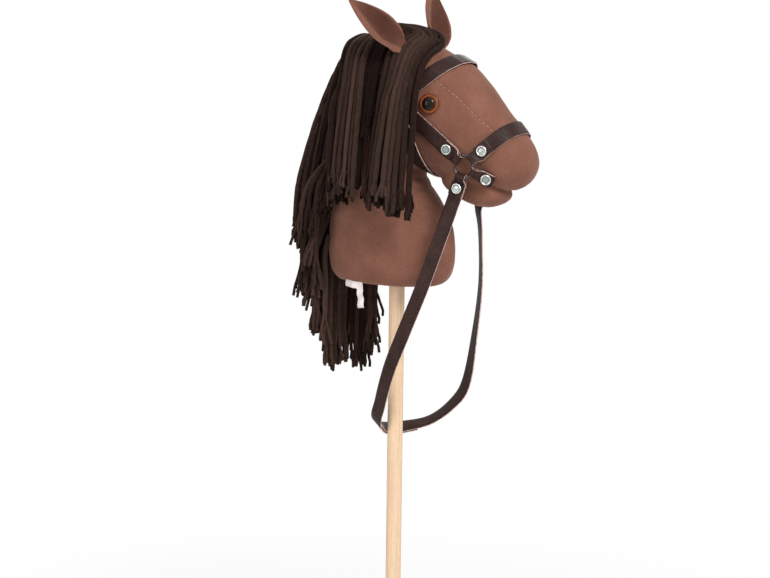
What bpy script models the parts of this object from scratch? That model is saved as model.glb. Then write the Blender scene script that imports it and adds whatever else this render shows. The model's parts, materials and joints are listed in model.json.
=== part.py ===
"""A hobby horse: a stuffed fabric head on a wooden stick, with a yarn mane, a riveted strap bridle and reins.

Frame: metres, +Z up along the stick, +X the way the horse looks, +Y the horse's left.
The origin is the centre of the stick's foot. Run it in Blender's text editor, or with
blender --background --python part.py
"""

import math

import bmesh
import bpy
from mathutils import Vector
from mathutils.bvhtree import BVHTree

# Clearances
SEAT = 0.0003  # gap between a piece and what it sits on or is sewn to
SAG = 0.0005  # extra height that keeps a strap's straight facets off the rounded head
RUN = 0.0006  # gap between a ring's wire and the strap folded round it

# Stick
STICK_DIAMETER = 0.018
STICK_BELOW_BASE = 0.509
STICK_IN_HEAD = 0.236  # how far the stick reaches up inside the neck and head
STICK_BEVEL = 0.002
BASE_HEIGHT = STICK_BELOW_BASE

# Neck: share of the way from its base to the head's middle, front edge, back edge, half width
NECK_SECTIONS = (
    (0.0000, 0.050, -0.068, 0.033),
    (0.0267, 0.062, -0.079, 0.040),
    (0.0800, 0.069, -0.085, 0.044),
    (0.1778, 0.071, -0.087, 0.046),
    (0.3022, 0.067, -0.085, 0.045),
    (0.4267, 0.052, -0.083, 0.044),
    (0.4978, 0.040, -0.082, 0.0435),
    (0.5689, 0.031, -0.081, 0.043),
    (0.6756, 0.027, -0.079, 0.0425),
    (0.8089, 0.026, -0.076, 0.042),
    (0.9244, 0.022, -0.071, 0.040),
    (1.0311, 0.012, -0.062, 0.035),
    (1.1022, 0.000, -0.050, 0.026),
    (1.1333, -0.014, -0.038, 0.014),
)
NECK_STEPS = 2  # rings from one section to the next

# Head: its axis leaves this point above the neck's base and points forward and down
HEAD_FORWARD = 0.003
HEAD_ABOVE_BASE = 0.225
HEAD_PITCH = math.radians(29.3)
# Distance along the axis, height of the top line above it, depth of the underside, half width
HEAD_SECTIONS = (
    (-0.0715, 0.006, 0.006, 0.006),
    (-0.068, 0.016, 0.015, 0.015),
    (-0.058, 0.030, 0.028, 0.028),
    (-0.040, 0.044, 0.042, 0.041),
    (-0.020, 0.054, 0.052, 0.048),
    (0.000, 0.060, 0.057, 0.052),
    (0.030, 0.063, 0.061, 0.053),
    (0.060, 0.0655, 0.063, 0.051),
    (0.088, 0.0595, 0.061, 0.046),
    (0.102, 0.054, 0.058, 0.043),
    (0.123, 0.045, 0.049, 0.039),
    (0.145, 0.038, 0.037, 0.036),
    (0.162, 0.031, 0.0345, 0.0345),
    (0.176, 0.0235, 0.029, 0.0285),
    (0.186, 0.0145, 0.020, 0.019),
    (0.191, 0.004, 0.007, 0.007),
)
HEAD_STEPS = 2
# Lower jaw, on the head's axis: distance, height of its top, depth of its underside, half width
JAW_SECTIONS = (
    (0.094, -0.048, 0.056, 0.008),
    (0.100, -0.041, 0.061, 0.019),
    (0.111, -0.034, 0.066, 0.028),
    (0.126, -0.028, 0.068, 0.031),
    (0.145, -0.025, 0.066, 0.030),
    (0.159, -0.026, 0.061, 0.027),
    (0.170, -0.028, 0.053, 0.021),
    (0.1765, -0.031, 0.045, 0.014),
    (0.179, -0.035, 0.040, 0.006),
)
JAW_STEPS = 2
SOFT_SIDES = 22  # points round each stuffed form
SOFT_SQUARENESS = 2.25  # 2 is an ellipse, more is squarer

# Ears: the middle of the base, the tip, then sections: how far along, half width and fold depth
EAR_BASE = (0.028, 0.038, 0.037)  # forward of, outward of and above the head's middle
EAR_TIPS = {-1: (-0.0185, 0.086, 0.094), 1: (-0.003, 0.078, 0.113)}  # the left ear stands more upright
EAR_FACINGS = {-1: (0.9, 0.35, 0.3), 1: (1.0, -0.05, 0.2)}  # the way the hollow side looks: forward, out, up
EAR_THICKNESS = 0.0045
EAR_CLEAR = 0.0012  # between an ear and the forelock
EAR_SECTIONS = (
    (-0.12, 0.0125, 0.010),
    (0.05, 0.0145, 0.010),
    (0.22, 0.0175, 0.009),
    (0.42, 0.0190, 0.0075),
    (0.62, 0.0160, 0.0055),
    (0.80, 0.0105, 0.003),
    (0.93, 0.0050, 0.0012),
    (1.00, 0.0018, 0.0004),
)

# Eyes: a glossy dome on a stem that is pushed into the head
EYE_BROW_GAP = 0.0057  # from the eye's rim to the browband, below it
EYE_CHEEK_GAP = 0.0045  # from the eye's rim to the headpiece, in front of it
EYE_DIAMETER = 0.022
EYE_RISE = 0.0065
EYE_STEM = 0.004
EYE_STEM_LENGTH = 0.012

# Bridle straps and rings
STRAP_WIDTH = 0.017
STRAP_THICKNESS = 0.0015
STRAP_END_WIDTH = 0.0115  # where a strap folds round a ring
STRAP_STEP = 0.0065  # distance between rows along a strap
FOLD_LENGTH = 0.024  # how far the folded end lies back along its strap
FOLD_CLOSES = 0.0050  # length over which the two plies come together
FOLD_STATIONS = [0.0, 0.0025, 0.005, 0.0075, 0.010, 0.0135, 0.0165, 0.020, FOLD_LENGTH]
TAPER_START = 0.002  # from the ring, where a strap begins to widen
TAPER_LENGTH = 0.008
RING_MEAN_RADIUS = 0.0124
RING_WIRE = 0.003
RING_ALONG_HEAD = 0.13180  # from the head's middle, along its axis
RING_BELOW_AXIS = 0.02236
NOSE_DIRECTION = (0.735, 0.678)  # forward and up, from the ring
HEADPIECE_TO = (-0.041, 0.041)  # where it crosses the back of the head, from the head's middle
JOINT_ALONG = 0.103  # from the ring's centre to the rivet that joins headpiece, browband and throat strap
BROW_DIRECTION = (0.737, 0.676)
THROAT_DIRECTION = (0.215, -0.977)
STRAP_TAIL = 0.011  # strap left beyond the joint rivet
HEADPIECE_RIVET_ALONG = 0.0165  # from the ring's wire to the rivet that closes each folded end
NOSEBAND_RIVET_ALONG = 0.0135
REIN_RIVET_ALONG = 0.0135
RIVET_CAP = 0.0122
RIVET_RISE = 0.0022
RIVET_SHANK = 0.004
MOUTH_TAB_LENGTH = 0.022
MOUTH_TAB_WIDTH = 0.0135
MOUTH_FOLD_WIDTH = 0.0090
MOUTH_RIVET_ALONG = 0.0135
MOUTH_TAB_CURL = 30.0  # how sharply the stiff tab can bend inward, per metre
TILT_WINDOW = 14  # rays on each side that settle how a strap tilts
RAYS = 200  # cast over half a turn to feel the head under a strap
HEADPIECE_AIM = 0.105  # how far along a strap's plane its rays aim
NOSEBAND_AIM = 0.012
BAND_AIM = 0.012

# Reins: their centre lines after the folded ends, and the way their inner faces look
REIN_DIRECTIONS = {-1: (-0.355, -0.935), 1: (-0.455, -0.890)}  # from the ring, right and left
REIN_STEP = 0.010
REIN_PARTS = 0.018  # length over which the right rein steps out to pass outside the left one
# Places from the middle between the rings, then the way the inner face looks
REIN_RIGHT_SIDE = (
    (-0.0229, -0.0485, -0.0717, 0.0, 1.0, 0.0),
    (-0.0456, -0.0500, -0.1325, 0.05, 1.0, 0.0),
    (-0.0712, -0.0490, -0.1916, 0.1, 0.98, 0.1),
    (-0.0925, -0.0410, -0.2338, 0.22, 0.93, 0.2),
    (-0.1118, -0.0280, -0.2787, 0.35, 0.85, 0.35),
)
# Behind the stick the first number is measured from the stick's back
REIN_BEHIND = (
    (-0.0055, -0.0150, -0.3000, 0.5, 0.5, 0.7),
    (-0.0075, 0.0000, -0.3110, 0.65, 0.0, 0.75),
    (-0.0075, 0.0180, -0.3155, 0.6, -0.1, 0.78),
)
REIN_LEFT_SIDE = (
    (-0.1176, 0.0400, -0.3174, 0.45, -0.3, 0.84),
    (-0.0918, 0.0570, -0.3100, -0.05, -0.55, 0.83),
    (-0.0659, 0.0630, -0.2889, -0.3, -0.75, 0.55),
    (-0.0484, 0.0640, -0.2619, -0.45, -0.87, 0.15),
    (-0.0368, 0.0610, -0.2033, -0.65, -0.75, 0.1),
    (-0.0278, 0.0560, -0.1409, -0.75, -0.65, 0.0),
    (-0.0265, 0.0500, -0.0811, -0.75, -0.65, 0.0),
    (-0.0280, 0.0460, -0.0521, -0.55, -0.8, 0.0),
)
REIN_RIGHT_END = 0.545  # share of the loop where the right rein ends, outside the left one
REIN_LEFT_END = 0.43  # share of the loop where the left rein ends

# Mane
LOCK_THICKNESS = 0.012
LOCK_LEVELS = (0.0, 0.03, 0.09, 0.19, 0.32, 0.50, 0.68, 0.84, 0.95, 1.0)
LOCK_FULLNESS = (0.45, 0.75, 0.95, 1.0, 1.0, 1.0, 1.05, 1.1, 0.9, 0.45)
LOCK_CLEAR = 0.0032  # gap left between the mane and the head
FORELOCK_CLEAR = 0.0055  # the forelock hangs over the bridle and its rivets
CREST_APART = 0.0045  # how far each side's roots stand from the crest seam
BACK_SPREAD = 0.020  # how far the strands behind the head stand apart at their ends
CREST_CENTRE = (-0.013, 0.001)  # forward of and above the head's middle
# Boundary strands: angle of the root round the crest, then where they end (forward, above the neck's base)
FORELOCK = (
    (33, (0.066, 0.090)),
    (45, (0.040, 0.099)),
    (60, (0.006, 0.104)),
)
CURTAIN_RIGHT = (
    (86, (-0.013, 0.096)),
    (100, (-0.032, 0.098)),
    (114, (-0.052, 0.098)),
    (128, (-0.074, 0.092)),
    (143, (-0.100, 0.082)),
    (165, (-0.124, 0.064)),
)
CURTAIN_LEFT = (
    (78, (-0.006, 0.094)),
    (90, (-0.014, 0.090)),
    (106, (-0.038, 0.088)),
    (122, (-0.062, 0.080)),
    (138, (-0.094, 0.066)),
    (165, (-0.122, 0.050)),
)
# Tufts behind the neck: root, then end (forward, left, above the neck's base), then half width
TUFT_THICKNESS = 0.013
TUFTS = (
    ((-0.085, -0.007, 0.120), (-0.116, -0.013, -0.018), 0.010),
    ((-0.080, -0.025, 0.080), (-0.095, -0.036, -0.052), 0.010),
    ((-0.064, -0.0385, 0.040), (-0.069, -0.053, -0.085), 0.0095),
    ((-0.085, 0.007, 0.120), (-0.112, 0.014, -0.030), 0.010),
    ((-0.080, 0.025, 0.080), (-0.088, 0.038, -0.070), 0.010),
    ((-0.064, 0.0385, 0.040), (-0.060, 0.054, -0.092), 0.0095),
)

# Label, folded into the seam under the neck: rows outward and down
TAG_AT = (-0.038, -0.027)
TAG_WIDTH = 0.017
TAG_THICKNESS = 0.0010
TAG_FOLD = ((0.0, 0.0), (0.001, 0.004), (0.0035, 0.009), (0.004, 0.014), (0.002, 0.020))

HEAD_ORIGIN = Vector((HEAD_FORWARD, 0, BASE_HEIGHT + HEAD_ABOVE_BASE))
HEAD_AXIS = Vector((math.cos(HEAD_PITCH), 0, -math.sin(HEAD_PITCH)))
HEAD_UP = Vector((math.sin(HEAD_PITCH), 0, math.cos(HEAD_PITCH)))
RING_MIDDLE = HEAD_ORIGIN + HEAD_AXIS * RING_ALONG_HEAD - HEAD_UP * RING_BELOW_AXIS
HEADPIECE_CROSSING = HEAD_ORIGIN + Vector((HEADPIECE_TO[0], 0, HEADPIECE_TO[1]))
HEADPIECE_DIRECTION = (HEADPIECE_CROSSING - RING_MIDDLE).normalized()
SIDEWAYS = Vector((0, 1, 0))
UPWARDS = Vector((0, 0, 1))
WIRE_RADIUS = RING_WIRE / 2
FOLD_RADIUS = WIRE_RADIUS + RUN + STRAP_THICKNESS / 2
PLY_PITCH = STRAP_THICKNESS + SEAT


def material(name, colour, roughness, metallic=0.0):
    made = bpy.data.materials.new(name)
    made.use_nodes = True
    shader = made.node_tree.nodes["Principled BSDF"]
    shader.inputs["Base Color"].default_value = (*colour, 1)
    shader.inputs["Roughness"].default_value = roughness
    shader.inputs["Metallic"].default_value = metallic
    return made


def mesh_from(name, points, faces):
    """A closed mesh with its faces looking outward."""
    bm = bmesh.new()
    verts = [bm.verts.new(p) for p in points]
    for face in faces:
        bm.faces.new([verts[i] for i in face])
    bmesh.ops.recalc_face_normals(bm, faces=bm.faces)
    mesh = bpy.data.meshes.new(name)
    bm.to_mesh(mesh)
    bm.free()
    mesh.shade_smooth()
    return mesh


def lofted(name, rings):
    """A closed mesh through rings of equally many points, with a flat face on each end."""
    sides = len(rings[0])
    points = [p for ring in rings for p in ring]
    faces = []
    for row in range(len(rings) - 1):
        for k in range(sides):
            n = (k + 1) % sides
            faces.append((row * sides + k, row * sides + n, (row + 1) * sides + n, (row + 1) * sides + k))
    faces.append(tuple(reversed(range(sides))))
    faces.append(tuple(range((len(rings) - 1) * sides, len(rings) * sides)))
    return mesh_from(name, points, faces)


def add_object(name, mesh, finish=None, cutter=False):
    made = bpy.data.objects.new(name, mesh)
    bpy.context.scene.collection.objects.link(made)
    if finish:
        made.data.materials.append(finish)
    if cutter:
        made.hide_render = True
        made.display_type = "WIRE"
    return made


def cut(obj, cutter):
    modifier = obj.modifiers.new(cutter.name, "BOOLEAN")
    modifier.operation = "DIFFERENCE"
    modifier.solver = "EXACT"
    modifier.object = cutter


def blended(sections, steps):
    """The sections with steps rings from each to the next, on a smooth curve through all their values."""
    rows = []
    last = len(sections) - 1
    for i in range(last):
        four = (sections[max(i - 1, 0)], sections[i], sections[i + 1], sections[min(i + 2, last)])
        for k in range(steps):
            t = k / steps
            row = []
            for a, b, c, d in zip(*four):
                bend = (2 * a - 5 * b + 4 * c - d) * t * t + (3 * b - a - 3 * c + d) * t**3
                row.append(0.5 * (2 * b + (c - a) * t + bend))
            rows.append(tuple(row))
    rows.append(sections[last])
    return rows


def oval(centre, along, across, half_along, half_across):
    """A closed ring of points: a slightly squared ellipse in the plane of along and across."""
    ring = []
    power = 2 / SOFT_SQUARENESS
    for k in range(SOFT_SIDES):
        angle = 2 * math.pi * k / SOFT_SIDES
        c, s = math.cos(angle), math.sin(angle)
        a = half_along * math.copysign(abs(c) ** power, c)
        b = half_across * math.copysign(abs(s) ** power, s)
        ring.append(centre + along * a + across * b)
    return ring


def neck_rings(grow=0.0):
    rings = []
    for share, front, back, half_width in blended(NECK_SECTIONS, NECK_STEPS):
        centre = Vector(((front + back) / 2, 0, BASE_HEIGHT + share * HEAD_ABOVE_BASE))
        half_length = (front - back) / 2
        rings.append(oval(centre, Vector((1, 0, 0)), SIDEWAYS, half_length + grow, half_width + grow))
    return rings


def head_rings(sections, steps, grow=0.0):
    rings = []
    rows = blended(sections, steps)
    for i, (distance, top, depth, half_width) in enumerate(rows):
        if i == 0:
            distance -= grow
        if i == len(rows) - 1:
            distance += grow
        centre = HEAD_ORIGIN + HEAD_AXIS * distance + HEAD_UP * (top - depth) / 2
        rings.append(oval(centre, HEAD_UP, SIDEWAYS, (top + depth) / 2 + grow, half_width + grow))
    return rings


def turned(name, profile, origin, axis, sides):
    """A solid of revolution about the axis through the origin.

    profile holds (radius, height) from one pole to the other.
    """
    axis = axis.normalized()
    side = axis.orthogonal().normalized()
    other = axis.cross(side)
    points = []
    rows = []
    for radius, height in profile:
        if radius < 1e-6:
            rows.append([len(points)])
            points.append(origin + axis * height)
            continue
        rows.append(list(range(len(points), len(points) + sides)))
        for k in range(sides):
            angle = 2 * math.pi * (k + 0.37) / sides
            radial = side * math.cos(angle) + other * math.sin(angle)
            points.append(origin + axis * height + radial * radius)
    faces = []
    for low, high in zip(rows, rows[1:]):
        for k in range(sides):
            n = (k + 1) % sides
            corners = [low[k % len(low)], low[n % len(low)], high[n % len(high)], high[k % len(high)]]
            faces.append(tuple(dict.fromkeys(corners)))
    for row in (rows[0], rows[-1]):
        if len(row) > 1:
            faces.append(tuple(row))
    return mesh_from(name, points, faces)


class Surface:
    """The outside of the pieces laid so far, to cast rays at."""

    def __init__(self):
        self.points = []
        self.faces = []
        self.tree = None

    def add(self, mesh):
        start = len(self.points)
        self.points.extend(v.co.copy() for v in mesh.vertices)
        self.faces.extend(tuple(start + i for i in p.vertices) for p in mesh.polygons)
        self.tree = BVHTree.FromPolygons(self.points, self.faces)

    def hit(self, origin, direction):
        return self.tree.ray_cast(origin, direction.normalized())[:2]


def hull_side(points):
    """The taut line over 2-D points (across, out) from the first to the last, bulging to positive out."""
    line = []
    for p in points:
        while len(line) > 1:
            (ax, ay), (bx, by) = line[-2], line[-1]
            if (bx - ax) * (p[1] - ay) - (by - ay) * (p[0] - ax) < 0:
                break
            line.pop()
        line.append(p)
    return line


def resample(line, stations):
    """Points at the given distances along a polyline, and its unit tangents there."""
    lengths = [0.0]
    for a, b in zip(line, line[1:]):
        lengths.append(lengths[-1] + (b - a).length)
    found = []
    for s in stations:
        s = min(max(s, 0.0), lengths[-1])
        k = 0
        while k < len(line) - 2 and lengths[k + 1] < s:
            k += 1
        t = (s - lengths[k]) / max(lengths[k + 1] - lengths[k], 1e-9)
        found.append(line[k].lerp(line[k + 1], t))
    return found, lengths[-1]


def ribbon(name, rows, thickness):
    """A closed band from rows of three mid-thickness points, each row across the strap."""
    count = len(rows)
    tops, bottoms = [], []
    for k in range(count):
        along_row = [rows[min(k + 1, count - 1)][j] - rows[max(k - 1, 0)][j] for j in range(3)]
        for j in range(3):
            across = rows[k][min(j + 1, 2)] - rows[k][max(j - 1, 0)]
            normal = along_row[j].cross(across).normalized()
            tops.append(rows[k][j] + normal * thickness / 2)
            bottoms.append(rows[k][j] - normal * thickness / 2)
    points = tops + bottoms
    low = len(tops)
    faces = []
    for k in range(count - 1):
        a, b = 3 * k, 3 * (k + 1)
        for j in range(2):
            faces.append((a + j, a + j + 1, b + j + 1, b + j))
            faces.append((low + a + j, low + b + j, low + b + j + 1, low + a + j + 1))
        faces.append((a, b, low + b, low + a))
        faces.append((a + 2, low + a + 2, low + b + 2, b + 2))
    for a in (0, 3 * (count - 1)):
        faces.append((a, a + 1, a + 2, low + a + 2, low + a + 1, low + a))
    return mesh_from(name, points, faces)


def widening(distance):
    """How far a strap has widened from its folded end to its full width, as a share."""
    t = min(max((distance - TAPER_START) / TAPER_LENGTH, 0), 1)
    return t * t * (3 - 2 * t)


def band_lines(surface, centre, direction, half, starts, inner, rise):
    """The middle of a strap's thickness along its lower edge, middle and upper edge, from right to left.

    centre and direction lie in the plane of symmetry. starts holds (along, out) of the strap's end on
    each line, and inner is how far along the direction the rays aim. The strap stays straight across,
    as stiff leather does.
    """
    square = Vector((-direction.z, 0, direction.x))
    reaches = []
    for k in range(-RAYS, RAYS + 1):
        angle = math.pi * k / RAYS
        ray = direction * math.cos(angle) + SIDEWAYS * math.sin(angle)
        found = []
        for share in (-1, -0.5, 0, 0.5, 1):
            eye = centre + square * share * half + direction * inner
            place, _ = surface.hit(eye + ray * 0.4, -ray)
            found.append((place - eye).length if place else None)
        reaches.append((angle, found))
    slopes = [(f[4] - f[0]) / 2 if f[0] and f[4] else 0.0 for _, f in reaches]
    lines = []
    for share, start in zip((-1, 0, 1), starts):
        hits = []
        for i, (angle, found) in enumerate(reaches):
            window = slopes[max(0, i - TILT_WINDOW) : i + TILT_WINDOW + 1]
            slope = sum(window) / len(window)
            lifted = [f - slope * at for f, at in zip(found, (-1, -0.5, 0, 0.5, 1)) if f]
            if not lifted:
                continue
            reach = max(lifted) + slope * share + rise
            along = inner + reach * math.cos(angle)
            if along > start[0] + 0.001:
                hits.append((reach * math.sin(angle), along))
        line = hull_side([(-start[1], start[0])] + hits + [(start[1], start[0])])
        base = centre + square * share * half
        lines.append([base + direction * along + SIDEWAYS * out for out, along in line])
    return lines


def band_rows(lines, stations):
    columns = []
    for line in lines:
        length = sum((b - a).length for a, b in zip(line, line[1:]))
        full = stations[-1]
        columns.append(resample(line, [s / full * length for s in stations])[0])
    return [list(row) for row in zip(*columns)]


def fold_rows(rows, spacing, ring_centre, ring_out):
    """Rows that carry a band round a ring's wire and back over itself. rows start at the wire."""
    outward = SIDEWAYS * ring_out
    direction = (rows[2][1] - rows[0][1])
    direction = (direction - outward * direction.dot(outward)).normalized()
    folded = []
    for s in reversed(spacing):
        k = spacing.index(s)
        t = min(max(s - FOLD_STATIONS[1], 0) / FOLD_CLOSES, 1)
        height = 2 * FOLD_RADIUS + (PLY_PITCH - 2 * FOLD_RADIUS) * t * t * (3 - 2 * t)
        row = []
        for j in range(3):
            along = rows[min(k + 1, len(rows) - 1)][j] - rows[max(k - 1, 0)][j]
            across = rows[k][min(j + 1, 2)] - rows[k][max(j - 1, 0)]
            normal = along.cross(across).normalized()
            if normal.dot(outward) < 0:
                normal.negate()
            blend = outward.lerp(normal, t).normalized()
            row.append(rows[k][j] + blend * height)
        folded.append(row)
    turns = 6
    for i in range(1, turns):
        angle = math.pi * i / turns
        row = []
        for j in range(3):
            wire = rows[0][j] + outward * FOLD_RADIUS
            around = outward * math.cos(angle) - direction * math.sin(angle)
            row.append(wire + around * FOLD_RADIUS)
        folded.append(row)
    return folded


def ring_reach(offset):
    """How far from the ring's centre the wire lies, at an offset across the strap."""
    return math.sqrt(RING_MEAN_RADIUS**2 - offset**2)


def ring_band(name, surface, centre, direction, wire_out, inner, finish):
    """A strap from ring to ring over the head, folded back over itself at both ends."""
    start_out = wire_out - FOLD_RADIUS
    rise = SEAT + SAG + STRAP_THICKNESS / 2
    end_half = STRAP_END_WIDTH / 2
    starts = [(ring_reach(share * end_half), start_out) for share in (-1, 0, 1)]
    wide = band_lines(surface, centre, direction, STRAP_WIDTH / 2, starts, inner, rise)
    narrow = band_lines(surface, centre, direction, end_half, starts, inner, rise)
    total = sum((b - a).length for a, b in zip(wide[1], wide[1][1:]))
    between = max(2, round((total - 2 * FOLD_LENGTH) / STRAP_STEP))
    middle = [FOLD_LENGTH + (total - 2 * FOLD_LENGTH) * k / between for k in range(1, between)]
    stations = FOLD_STATIONS + middle + [total - s for s in reversed(FOLD_STATIONS)]
    wide_rows = band_rows(wide, stations)
    narrow_rows = band_rows(narrow, stations)
    rows = []
    for s, w, n in zip(stations, wide_rows, narrow_rows):
        t = widening(min(s, total - s))
        rows.append([n[j].lerp(w[j], t) for j in range(3)])
    start_fold = fold_rows(rows, FOLD_STATIONS, centre, -1)
    end_fold = fold_rows(rows[::-1], FOLD_STATIONS, centre, 1)
    full = start_fold + rows + end_fold[::-1]
    mesh = ribbon(name, full, STRAP_THICKNESS)
    return add_object(name, mesh, finish), rows, stations


def plain_band(name, surface, centre, direction, start_along, inner, finish, extra=0.0):
    """A strap over the head whose two ends simply stop, one on each side."""
    rise = SEAT + SAG + extra + STRAP_THICKNESS / 2
    square = Vector((-direction.z, 0, direction.x))
    outs = []
    for share in (-1, -0.5, 0, 0.5, 1):
        place = centre + square * share * STRAP_WIDTH / 2 + direction * start_along
        hit, _ = surface.hit(place + SIDEWAYS * 0.3, -SIDEWAYS)
        outs.append(hit.y)
    start = (start_along, max(outs) + rise)
    lines = band_lines(surface, centre, direction, STRAP_WIDTH / 2, [start] * 3, inner, rise)
    total = sum((b - a).length for a, b in zip(lines[1], lines[1][1:]))
    count = round(total / STRAP_STEP)
    stations = [total * k / count for k in range(count + 1)]
    rows = band_rows(lines, stations)
    mesh = ribbon(name, rows, STRAP_THICKNESS)
    return add_object(name, mesh, finish), rows, stations


def side_tab(name, surface, centre, direction, wire_out, side, length, finish):
    """A short strap folded round a ring that lies along the side of the head and simply stops."""
    rise = SEAT + SAG + STRAP_THICKNESS / 2
    start_out = wire_out - FOLD_RADIUS
    square = Vector((-direction.z, 0, direction.x))
    stations = [s for s in FOLD_STATIONS if s < length] + [length]
    outs = []
    for k in range(13):
        run = length * k / 12
        out = start_out - MOUTH_TAB_CURL * run**2
        for share in (-1, 0, 1):
            spot = centre + square * share * MOUTH_TAB_WIDTH / 2 + direction * (RING_MEAN_RADIUS + run)
            hit, _ = surface.hit(spot + SIDEWAYS * 0.3, -SIDEWAYS)
            out = max(out, hit.y + rise)
        outs.append(min(out, start_out))
    widths = []
    for width in (MOUTH_FOLD_WIDTH, MOUTH_TAB_WIDTH):
        columns = []
        for share in (-1, 0, 1):
            reach = ring_reach(share * MOUTH_FOLD_WIDTH / 2)
            line = hull_side([(reach + length * k / 12, outs[k]) for k in range(13)])
            base = centre + square * share * width / 2
            columns.append([base + direction * a + SIDEWAYS * o * side for a, o in line])
        widths.append(band_rows(columns, stations))
    rows = []
    for s, narrow, wide in zip(stations, *widths):
        rows.append([narrow[j].lerp(wide[j], widening(s)) for j in range(3)])
    fold = fold_rows(rows, stations[:-1], centre, side)
    mesh = ribbon(name, fold + rows, STRAP_THICKNESS)
    return add_object(name, mesh, finish), rows, stations


def loop_path(stations, spacing):
    """Points and face directions along the reins, smoothed through hand-set stations and evenly spaced."""
    dense = blended(stations, 8)
    line = [Vector(row[:3]) for row in dense]
    faces = [Vector(row[3:]) for row in dense]
    total = sum((b - a).length for a, b in zip(line, line[1:]))
    count = round(total / spacing)
    marks = [total * k / count for k in range(count + 1)]
    places = resample(line, marks)[0]
    looks = []
    run = [0.0]
    for a, b in zip(line, line[1:]):
        run.append(run[-1] + (b - a).length)
    for s in marks:
        k = 0
        while k < len(run) - 2 and run[k + 1] < s:
            k += 1
        t = (s - run[k]) / max(run[k + 1] - run[k], 1e-9)
        looks.append(faces[k].lerp(faces[k + 1], min(max(t, 0), 1)))
    return places, looks, marks


def rein_direction(side):
    forward, up = REIN_DIRECTIONS[side]
    return Vector((forward, 0, up)).normalized()


def rein_stations():
    """The hand-set stations of the rein loop, from the right round the back of the stick to the left."""
    stations = []
    behind = Vector((-STICK_DIAMETER / 2, 0, RING_MIDDLE.z))
    groups = ((REIN_RIGHT_SIDE, RING_MIDDLE), (REIN_BEHIND, behind), (REIN_LEFT_SIDE, RING_MIDDLE))
    for group, origin in groups:
        for row in group:
            stations.append((*(origin + Vector(row[:3])), *row[3:]))
    return stations


def rein_start(side, wire_out):
    direction = rein_direction(side)
    start = RING_MIDDLE.copy()
    start += direction * (RING_MEAN_RADIUS + FOLD_LENGTH + REIN_STEP)
    start.y = (wire_out - FOLD_RADIUS) * side
    return (*start, 0.0, -side, 0.0)


def rein(name, centre, wire_out, side, path, finish, first, last, under):
    """One rein: folded round its ring, then along a share of the loop.

    under lays its end outside the other rein.
    """
    outward = SIDEWAYS * side
    direction = rein_direction(side)
    square = direction.cross(outward)
    rows = []
    for s in FOLD_STATIONS:
        half = (STRAP_END_WIDTH + (STRAP_WIDTH - STRAP_END_WIDTH) * widening(s)) / 2
        row = []
        for share in (-1, 0, 1):
            along = ring_reach(share * STRAP_END_WIDTH / 2)
            middle = centre + outward * (wire_out - FOLD_RADIUS) + direction * (along + s)
            row.append(middle + square * share * half)
        rows.append(row)
    places, looks, marks = path
    total = marks[-1]
    picked = [k for k in range(len(marks)) if first <= marks[k] / total <= last]
    if side > 0:
        picked.reverse()
    for k in picked:
        ahead = (places[min(k + 1, len(places) - 1)] - places[max(k - 1, 0)]).normalized()
        look = (looks[k] - ahead * looks[k].dot(ahead)).normalized()
        across = ahead.cross(look)
        shift = 0.0
        if under:
            t = min(max((marks[k] - total * REIN_LEFT_END + REIN_STEP + REIN_PARTS) / REIN_PARTS, 0), 1)
            shift = -(PLY_PITCH + SAG) * t * t * (3 - 2 * t)
        run = marks[k] if side < 0 else total - marks[k]
        half = STRAP_WIDTH / 2
        row = [places[k] + look * shift + across * share * half for share in (-1, 0, 1)]
        if (row[2] - row[0]).dot(rows[-1][2] - rows[-1][0]) < 0:
            row.reverse()
        rows.append(row)
    fold = fold_rows(rows[: len(FOLD_STATIONS) + 1], FOLD_STATIONS, centre, side)
    mesh = ribbon(name, fold + rows, STRAP_THICKNESS)
    return add_object(name, mesh, finish), rows


def rivet(name, place, normal, depth, finish, straps):
    """A capped rivet: place is on the outermost strap, depth is how far its shank reaches in."""
    radius = RIVET_CAP / 2
    shank = RIVET_SHANK / 2
    lift = SEAT + SAG
    profile = [
        (0, -depth),
        (shank, -depth),
        (shank, lift),
        (radius * 0.97, lift),
        (radius, lift + RIVET_RISE * 0.2),
        (radius * 0.88, lift + RIVET_RISE * 0.6),
        (radius * 0.55, lift + RIVET_RISE * 0.92),
        (0, lift + RIVET_RISE),
    ]
    add_object(name, turned(name, profile, place, normal, 14), finish)
    bore = shank + SEAT
    hole = [(0, -depth - 0.002), (bore, -depth - 0.002), (bore, 0.003), (0, 0.003)]
    cutter = add_object("cut_" + name, turned("cut_" + name, hole, place, normal, 12), cutter=True)
    for strap in straps:
        cut(strap, cutter)


def fold_rivet(name, rows, stations, at, outward, finish, strap):
    """The rivet through both plies of a folded strap end. rows start at the wire."""
    k = min(range(len(stations)), key=lambda i: abs(stations[i] - at))
    along = rows[k + 1][1] - rows[k - 1][1]
    across = rows[k][2] - rows[k][0]
    normal = along.cross(across).normalized()
    if normal.dot(outward) < 0:
        normal.negate()
    top = rows[k][1] + normal * (PLY_PITCH + STRAP_THICKNESS / 2)
    rivet(name, top, normal, PLY_PITCH + STRAP_THICKNESS - SEAT, finish, [strap])


def crescent(centre, facing, across, half_width, depth, grow):
    """The cross-section of an ear: its edges stand forward of its middle."""
    back, front = [], []
    reach = half_width + grow
    for i in range(7):
        t = -1 + i / 3
        lean = -depth * (1 - (t * reach / half_width) ** 2)
        thick = EAR_THICKNESS * (0.35 + 0.65 * (1 - t * t)) * min(1, reach / 0.008) + 2 * grow
        back.append(centre + across * reach * t + facing * (lean - thick / 2))
        front.append(centre + across * reach * t * 0.97 + facing * (lean + thick / 2))
    return back + front[::-1]


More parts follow.
